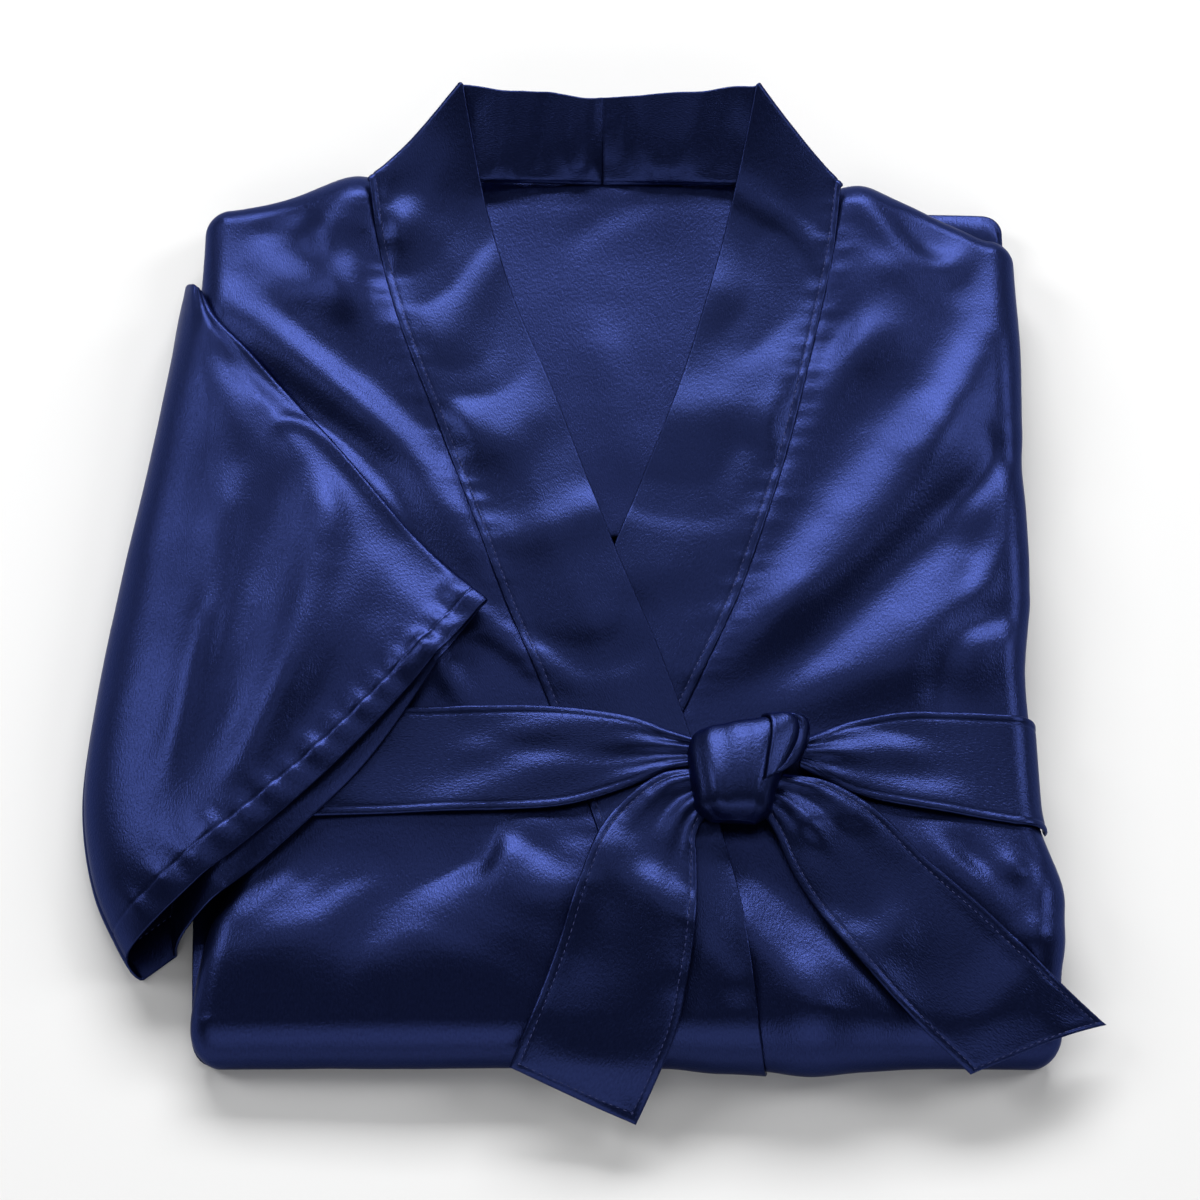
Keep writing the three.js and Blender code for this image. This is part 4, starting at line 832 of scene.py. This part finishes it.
def knotPoint(along, turn, out=0.0):
    row = rowAt(knotRows, along)
    angle = turn * 2 * np.pi
    square = lambda value: np.sign(value) * np.abs(value) ** 0.82
    top = np.sin(angle) > 0
    crease = 0
    for start, end, width, depth in knotCreases:
        crease = crease - depth * hump(turn, mix(start, end, along), width)
    crease = crease + 0.5 * softNoise(turn * 60, along * 40, 9, 6)
    inside = smooth(0, 0.12, along) * (1 - smooth(0.9, 1, along))
    bulge = np.where(top, np.sin(angle) * (crease + 1.0), 0) * inside
    halfWidth = (row["rightX"] - row["leftX"]) / 2 + out
    height = np.where(top, row["height"] + bulge + out, knotSizes["rim"])
    sideways = square(np.cos(angle))
    x = (row["leftX"] + row["rightX"]) / 2 + halfWidth * sideways
    y = mix(row["leftY"], row["rightY"], (1 + sideways) / 2)
    base = crown(x, y) + knotSizes["lift"] + knotSizes["rim"]
    under = np.where(top, 0, np.maximum(0, 1 - ((sideways + 0.1) / 0.5) ** 2))
    z = base + height * square(np.sin(angle)) - knotSizes["depth"] * under * np.sin(np.pi * along)
    return np.stack([x, y, z], axis=-1)


def knot():
    along = (0.5 - 0.5 * np.cos(np.linspace(0, np.pi, 70)))[:, None]
    turn = (np.arange(160) / 160)[None]
    return ringSolid("beltKnot", knotPoint(along, turn))


def knotFold():  # the last turn of the belt, twisted over the knot's upper end toward +X
    down, over = np.linspace(0, 1, 70)[:, None], np.linspace(0, 1, 60)[None]
    belly = np.sin(np.pi * down) ** 0.8
    along = mix(twist["from"], twist["to"], down) - 0.05 * over * down
    turn = mix(mix(*twist["inner"], down), mix(*twist["outer"], belly), over)
    lobe = twist["lobe"] * smooth(0.45, 1, over) + 0.9 * hump(over, 0.42, 0.14)
    out = twist["out"] + lobe * belly
    crease = 1.3 * hump(over, 0.66, 0.07) * belly
    middle = knotPoint(along, turn, out - crease)
    nearest = np.minimum(np.minimum(down, 1 - down) * 26, np.minimum(over, 1 - over) * 16)
    half = edgeRound(nearest, 1.0)
    return clothShell("beltKnotFold", middle, half)[0]


# Hidden layers
layers = {"count": 6, "crease": 3.4, "wander": 1.6, "clear": 1.5, "frontClear": 5, "sink": 4.5, "dip": 9,
          "neckSink": 0.8, "neckReach": 5}


def packetOutline(rightEdge, leftEdge, backLine):  # points round the packet and the way out at each
    quarter = np.linspace(0, 1, 12)[1:-1]
    sides, ends = np.linspace(0, 1, 110), np.linspace(0, 1, 96)
    yBack = (lambda x: readTable(backLine, "x", x, "y", 6)) if backLine else (lambda x: backY + 0 * x)
    rightBack, leftBack = (edgeAt(edge, np.array([float(backY)])) for edge in (rightEdge, leftEdge))
    rightFront, leftFront = (edgeAt(edge, np.array([float(frontY)])) for edge in (rightEdge, leftEdge))
    parts = []

    def run(x, y, turn):
        parts.append((x + 0 * y, y + 0 * x, np.pi * turn + 0 * (x + y)))

    y = mix(yBack(rightBack), frontY, sides)
    run(edgeAt(rightEdge, y), y, 1)
    run(rightFront, frontY, 1 + quarter / 2)
    run(mix(rightFront, leftFront, ends), frontY, 1.5)
    run(leftFront, frontY, 1.5 + quarter / 2)
    y = mix(frontY, yBack(leftBack), sides)
    run(edgeAt(leftEdge, y), y, 2)
    run(leftBack, yBack(leftBack), 2 + quarter / 2)
    x = mix(leftBack, rightBack, ends)
    run(x, yBack(x), 2.5)
    run(rightBack, yBack(rightBack), 2.5 + quarter / 2)
    x, y, angle = (np.concatenate([np.broadcast_to(part[n], part[2].shape) for part in parts])
                   for n in range(3))
    return x, y, np.cos(angle), np.sin(angle)


def foldedLayers():
    lowX, lowY, lowOutX, lowOutY = packetOutline(hiddenRightEdge, hiddenLeftEdge, None)
    highX, highY, highOutX, highOutY = packetOutline(rightFrontEdge, leftFrontEdge, shoulderLine)

    def shapeAt(x, y, outY):
        front = np.where(outY < 0, outY**2, 0)
        radius = mix(packet["sideRadius"], packet["frontRadius"], front)
        return front, radius, radius - layers["clear"] - layers["frontClear"] * front, crown(x, y)

    rings = []
    front, radius, inner, top = shapeAt(lowX, lowY, lowOutY)
    lowAngle = -0.44  # where the stack ends and the rounded top layers begin
    start = keepAbove(top - radius + inner * np.sin(lowAngle), 1.5, 1)
    walk = np.cumsum(np.hypot(np.diff(lowX, append=lowX[0]), np.diff(lowY, append=lowY[0])) + 1.2)
    walk = walk / walk[-1] * 2 * np.pi
    for height in np.linspace(0, 0.9, 8 * layers["count"] + 1):
        level = height / 0.9 * layers["count"]
        number = np.minimum(np.floor(level), layers["count"] - 1)
        part = level - number
        bulge = np.sqrt(np.clip(1 - (2 * part - 1) ** 2, 0, 1))
        uneven = softNoise(40 * np.cos(walk) + 9 * number, 40 * np.sin(walk), 11, 12)
        wander = layers["wander"] * (0.5 + 0.5 * uneven)
        inset = 0.4 + wander * bulge + layers["crease"] * (1 - bulge)
        if number == 0 and part < 0.5:
            inset = inset + 1.5 * (1 - 2 * part)
        frontInset = 4.4 + 7 * (1 - height) ** 2 + 0.4 * layers["crease"] * (1 - bulge)
        reach = radius - mix(inset + 0.3, frontInset, front)
        z = height * start * 0.94 + 0 * reach
        rings.append(np.stack([lowX + lowOutX * reach, lowY + lowOutY * reach, z], axis=-1))
    front, radius, inner, top = shapeAt(highX, highY, highOutY)
    # between the fronts, the layers come up and out to the neck seam
    neck = smooth(118, 101, np.abs(highX - centreX)) * (highOutY > 0.5)
    sink = mix(layers["sink"], layers["neckSink"], neck)
    for angle in np.linspace(lowAngle, np.pi / 2, 12):
        sunk = inner - sink * smooth(0.5, 1.3, angle)
        z, reach = keepAbove(top - radius + sunk * np.sin(angle), 1.5, 1), inner * np.cos(angle)
        outY = highY + highOutY * reach + layers["neckReach"] * neck * smooth(lowAngle, 0.2, angle)
        rings.append(np.stack([highX + highOutX * reach, outY, z], axis=-1))
    for share in (0.94, 0.85, 0.7, 0.5, 0.3, 0.12):
        x, y = mix(centreX, highX, share), highY * share
        rings.append(np.stack([x, y, crown(x, y) - layers["dip"]], axis=-1))
    return ringSolid("hiddenLayers", np.array(rings))


# Materials
def addNode(tree, kind, settings=None, **links):
    # adds a node, sets its properties or inputs, and links inputs given by name
    node = tree.nodes.new(kind)
    for name, value in (settings or {}).items():
        if name in node.inputs:
            node.inputs[name].default_value = value
        else:
            setattr(node, name, value)
    for name, source in links.items():
        tree.links.new(source, node.inputs[name.replace("_", " ")])
    return node


satin = {  # polyester satin, long smooth floats: broad tinted shine and dark hollows
    "dark": "#1a2146", "light": "#26305d",  # between two threads, so that the cloth isn't one flat blue
    "metallic": 0.94, "roughness": 0.35, "gloss": 0.12,  # nearly all of the light comes back tinted
    "edge": "#bfc4de",  # keeps cloth seen edge-on from turning white
    "grain": 0.6,  # mm across one float of thread, drawn coarser than real so that it shows
    "grainLength": 1.8, "grainBump": 0.6,
    "mottle": 1.3, "mottleBump": 0.3,  # mm across a patch: breaks up the shine a little
}


def newMaterial(name):
    material = bpy.data.materials.new(name)
    material.use_nodes = True
    material.node_tree.nodes.clear()
    return material, material.node_tree, addNode(material.node_tree, "ShaderNodeTexCoord").outputs


def satinMaterial(name, values):
    material, tree, coordinates = newMaterial(name)
    perMm = 100.0  # the UV map counts 100 mm of cloth as 1
    stretch = (perMm / values["grain"], perMm / values["grainLength"], 1)
    threads = addNode(tree, "ShaderNodeMapping", {"Scale": stretch}, Vector=coordinates["UV"])
    grain = addNode(tree, "ShaderNodeTexNoise", {"Scale": 1.0, "Detail": 1.0},
                    Vector=threads.outputs["Vector"])
    patches = addNode(tree, "ShaderNodeMapping", {"Scale": (1000 / values["mottle"],) * 3},
                      Vector=coordinates["Object"])
    mottle = addNode(tree, "ShaderNodeTexNoise", {"Scale": 1.0, "Detail": 2.0, "Distortion": 1.2},
                     Vector=patches.outputs["Vector"])
    colour = addNode(tree, "ShaderNodeMix", {"data_type": "RGBA"})
    colour.inputs[6].default_value = toLinear(values["dark"])
    colour.inputs[7].default_value = toLinear(values["light"])
    tree.links.new(grain.outputs["Fac"], colour.inputs[0])
    fine = addNode(tree, "ShaderNodeBump", {"Strength": values["grainBump"], "Distance": 0.0002},
                   Height=grain.outputs["Fac"])
    coarse = addNode(tree, "ShaderNodeBump", {"Strength": values["mottleBump"], "Distance": 0.0003},
                     Height=mottle.outputs["Fac"], Normal=fine.outputs["Normal"])
    shader = addNode(tree, "ShaderNodeBsdfPrincipled", {
        "Metallic": values["metallic"], "Roughness": values["roughness"], "IOR": 1.5,
        "Specular IOR Level": values["gloss"], "Specular Tint": toLinear(values["edge"])},
        Base_Color=colour.outputs[2], Normal=coarse.outputs["Normal"])
    addNode(tree, "ShaderNodeOutputMaterial", None, Surface=shader.outputs["BSDF"])
    return material


def plainMaterial(name, colour, roughness):
    material, tree, coordinates = newMaterial(name)
    fibres = addNode(tree, "ShaderNodeTexNoise", {"Scale": 900.0, "Detail": 2.0},  # 1.1 mm apart
                     Vector=coordinates["Object"])
    rough = addNode(tree, "ShaderNodeBump", {"Strength": 0.08, "Distance": 0.0002},
                    Height=fibres.outputs["Fac"])
    looks = {"Base Color": toLinear(colour), "Roughness": roughness}
    shader = addNode(tree, "ShaderNodeBsdfPrincipled", looks, Normal=rough.outputs["Normal"])
    addNode(tree, "ShaderNodeOutputMaterial", None, Surface=shader.outputs["BSDF"])
    return material


bodySatin = satinMaterial("polyesterSatinBody", satin)
bandSatin = satinMaterial("polyesterSatinDoubled", {**satin, "dark": "#192044", "light": "#252f5a"})
spunThread = plainMaterial("spunPolyesterThread", "#232e66", 0.55)  # duller than the satin beside it
paperFloor = plainMaterial("matPaperFloor", "#e9e9e9", 0.9)  # pale and even, with no shine

# Make every piece
rightSeam, leftSeam = seamTable(-1, rightBandRows), seamTable(1, leftBandRows)
tuckedY, tuckedX = tuckedEdge(-90, frontY)
leftInner = {"y": np.concatenate([leftSeam["y"][leftSeam["y"] > -76], tuckedY]),
             "x": np.concatenate([leftSeam["x"][leftSeam["y"] > -76], tuckedX])}

made = {
    "folded_layers": (foldedLayers(), "body"),
    "back_panel": (backPanel(), "body"),
    "front_right": (frontPanel("rightFront", -1, rightFrontEdge, rightSeam), "body"),
    "front_left": (frontPanel("leftFront", 1, leftFrontEdge, leftInner), "body"),
    "sleeve_right": (sleeve(), "body"),
    "neckband_right": (neckband("rightNeckband", -1, rightBandRows, True), "band"),
    "neckband_left": (neckband("leftNeckband", 1, leftBandRows, False), "band"),
    "belt_wrap_right": (beltWrap("rightBeltWrap", -1, rightWrapRows, rightFrontEdge), "band"),
    "belt_wrap_left": (beltWrap("leftBeltWrap", 1, leftWrapRows, leftFrontEdge), "band"),
    "belt_tail_right": (beltTail("rightBeltTail", -1, rightTailRows, 41), "band"),
    "belt_tail_left": (beltTail("leftBeltTail", 1, leftTailRows, 47), "band"),
    "belt_knot": (knot(), "band"),
    "belt_knot_fold": (knotFold(), "band"),
}
print("made", len(made), "pieces")
for node, (piece, kind) in made.items():
    piece.data.materials.append(bodySatin if kind == "body" else bandSatin)
    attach(piece, "root")
    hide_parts(node)

# Stitches
stitch = {"spacing": 3.1, "length": 2.1, "thickness": 0.42, "jitter": 0.12, "seed": 5}


def stitchTree():
    tree = bpy.data.node_groups.new("runningStitches", "GeometryNodeTree")
    tree.interface.new_socket("Geometry", in_out="INPUT", socket_type="NodeSocketGeometry")
    names = {"Spacing": "spacing", "Length": "length", "Thickness": "thickness", "Jitter": "jitter"}
    sockets = {value: tree.interface.new_socket(name, in_out="INPUT", socket_type="NodeSocketFloat")
               for name, value in names.items()}
    sockets["seed"] = tree.interface.new_socket("Seed", in_out="INPUT", socket_type="NodeSocketInt")
    tree.interface.new_socket("Geometry", in_out="OUTPUT", socket_type="NodeSocketGeometry")
    given = addNode(tree, "NodeGroupInput").outputs
    line = addNode(tree, "GeometryNodeMeshToCurve", None, Mesh=given["Geometry"])
    even = addNode(tree, "GeometryNodeResampleCurve", {"mode": "LENGTH"}, Curve=line.outputs["Curve"],
                   Length=given["Spacing"])
    size = addNode(tree, "ShaderNodeCombineXYZ", None, X=given["Length"], Y=given["Thickness"],
                   Z=given["Thickness"])
    bead = addNode(tree, "GeometryNodeMeshUVSphere", {"Segments": 6, "Rings": 5, "Radius": 0.5})
    thread = addNode(tree, "GeometryNodeTransform", None, Geometry=bead.outputs["Mesh"],
                     Scale=size.outputs["Vector"])
    tangent = addNode(tree, "GeometryNodeInputTangent").outputs["Tangent"]
    turn = addNode(tree, "FunctionNodeAlignRotationToVector", {"axis": "X"}, Vector=tangent)
    least = addNode(tree, "ShaderNodeMath", {"operation": "SUBTRACT", "Value": 1.0})
    tree.links.new(given["Jitter"], least.inputs[1])
    vary = addNode(tree, "FunctionNodeRandomValue", {"data_type": "FLOAT"}, Seed=given["Seed"])
    tree.links.new(least.outputs[0], vary.inputs[2])
    vary.inputs[3].default_value = 1.0
    placed = addNode(tree, "GeometryNodeInstanceOnPoints", None, Points=even.outputs["Curve"],
                     Instance=thread.outputs["Geometry"], Rotation=turn.outputs["Rotation"],
                     Scale=vary.outputs[1])
    solid = addNode(tree, "GeometryNodeRealizeInstances", None, Geometry=placed.outputs["Instances"])
    dressed = addNode(tree, "GeometryNodeSetMaterial", {"Material": spunThread},
                      Geometry=solid.outputs["Geometry"])
    out = addNode(tree, "NodeGroupOutput")
    tree.links.new(dressed.outputs["Geometry"], out.inputs["Geometry"])
    return tree, {name: socket.identifier for name, socket in sockets.items()}


def makeStitches():
    points, edges = [], []
    for line in stitchLines:
        first = len(points)
        points += toFrame(line)
        edges += [(n, n + 1) for n in range(first, len(points) - 1)]
    mesh = bpy.data.meshes.new("stitchPaths")
    mesh.from_pydata(points, edges, [])
    paths = linked("stitchPaths", mesh)
    tree, identifiers = stitchTree()
    modifier = paths.modifiers.new("stitches", "NODES")
    modifier.node_group = tree
    for name, identifier in identifiers.items():
        modifier[identifier] = stitch[name] if name in ("seed", "jitter") else stitch[name] / 1000
    bpy.context.view_layer.update()
    evaluated = paths.evaluated_get(bpy.context.evaluated_depsgraph_get())
    plain = bpy.data.meshes.new_from_object(evaluated)
    paths.modifiers.remove(modifier)
    bpy.data.objects.remove(paths)
    threads = linked("topstitchThreads", plain)
    if not plain.materials:
        plain.materials.append(spunThread)
    plain.polygons.foreach_set("use_smooth", [True] * len(plain.polygons))
    return threads


threads = makeStitches()
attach(threads, "root")
print("stitch mesh faces:", len(threads.data.polygons))

# Cloth area of each piece, printed beside its cut, by the size of what shows
cuts = {  # width and length in metres, area in square metres
    "back_panel": (0.17, 0.19, 0.0166, "laid", "hiddenLayers"),
    "front_right": (0.19, 0.45, 0.0623, "folded", "hiddenLayers"),
    "front_left": (0.19, 0.45, 0.0577, "folded", "hiddenLayers"),
    "sleeve_right": (0.43, 0.26, 0.0734, "folded", "rightFront"),
    "neckband_right": (0.056, 0.535, 0.0298, "folded", "rightFront"),
    "neckband_left": (0.056, 0.36, 0.0195, "folded", "leftFront"),
    "belt_wrap_right": (0.048, 0.21, 0.0098, "folded", "rightFront"),
    "belt_wrap_left": (0.048, 0.115, 0.005, "folded", "leftFront"),
    "belt_tail_right": (0.057, 0.158, 0.0077, "laid", "rightFront"),
    "belt_tail_left": (0.06, 0.17, 0.008, "laid", "leftFront"),
}


def clothArea(piece):  # square metres of one face
    return sum(polygon.area for polygon in piece.data.polygons) / 2


for node, (width, length, area, held, restsOn) in cuts.items():
    piece = made[node][0]
    print(node, "cloth", round(clothArea(piece), 4), "cut", area)

# Floor, light and camera
floorMesh = bpy.data.meshes.new("floor")
floorMesh.from_pydata([(-8, -8, 0), (8, -8, 0), (8, 8, 0), (-8, 8, 0)], [], [(0, 1, 2, 3)])
floor = linked("floor", floorMesh)
floorMesh.materials.append(paperFloor)
floor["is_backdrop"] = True

studio = {
    "overhead": 0.034, "horizon": 0.26,  # brightness of the white room above and low down
    "distance": 4.0,
    # name, degrees off the zenith, degrees round to the left from the collar end, width and height
    # in metres, and power in watts; each looks at the robe
    "boxes": (
        ("backBox", 54, 0, 3.6, 1.1, 200),
        ("topBox", 10, 0, 2.6, 1.6, 13),
        ("leftBox", 52, 68, 1.2, 1.6, 42),
        ("rightBox", 54, -72, 1.2, 1.6, 38),
        ("frontBox", 60, 180, 5.0, 3.0, 62),
    ),
}


def lookAt(thing, target):
    thing.rotation_euler = (Vector(target) - thing.location).to_track_quat("-Z", "Y").to_euler()


def makeLights():
    world = bpy.data.worlds.new("studio")
    bpy.context.scene.world = world
    world.use_nodes = True
    tree = world.node_tree
    direction = addNode(tree, "ShaderNodeTexCoord")
    upward = addNode(tree, "ShaderNodeSeparateXYZ", None, Vector=direction.outputs["Generated"])
    strength = addNode(tree, "ShaderNodeMapRange", {
        "interpolation_type": "SMOOTHSTEP", "From Min": 0.05, "From Max": 0.35,
        "To Min": studio["horizon"], "To Max": studio["overhead"]}, Value=upward.outputs["Z"])
    background = tree.nodes["Background"]
    background.inputs["Color"].default_value = (1, 1, 1, 1)
    tree.links.new(strength.outputs["Result"], background.inputs["Strength"])
    for name, zenith, round_, width, height, power in studio["boxes"]:
        light = bpy.data.lights.new(name, "AREA")
        light.shape = "RECTANGLE"
        light.size, light.size_y = width, height
        light.energy = power
        box = linked(name, light)
        up, turn = math.radians(zenith), math.radians(round_)
        flat = math.sin(up)
        box.location = Vector((-flat * math.sin(turn), flat * math.cos(turn), math.cos(up)))
        box.location *= studio["distance"]
        lookAt(box, (0, 0, 0.03))


camera = {"elevation": 67.0, "lens": 100.0, "distance": 1.48, "target": (0.0059, -0.0033, 0.02)}


def makeCamera():
    data = bpy.data.cameras.new("camera")
    data.lens = camera["lens"]
    data.sensor_width = 36.0
    data.clip_end = 50
    viewer = linked("camera", data)
    tilt = math.radians(camera["elevation"])
    target = Vector(camera["target"])
    viewer.location = target + Vector((0, -math.cos(tilt), math.sin(tilt))) * camera["distance"]
    lookAt(viewer, target)
    bpy.context.scene.camera = viewer
    bpy.context.scene.view_settings.view_transform = "Standard"  # a white studio floor stays white


makeLights()
makeCamera()
print("lights and camera made")

bpy.context.view_layer.update()
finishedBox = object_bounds()
({"cad": [list(corner) for corner in cadBox],
           "visual": [list(corner) for corner in finishedBox]})
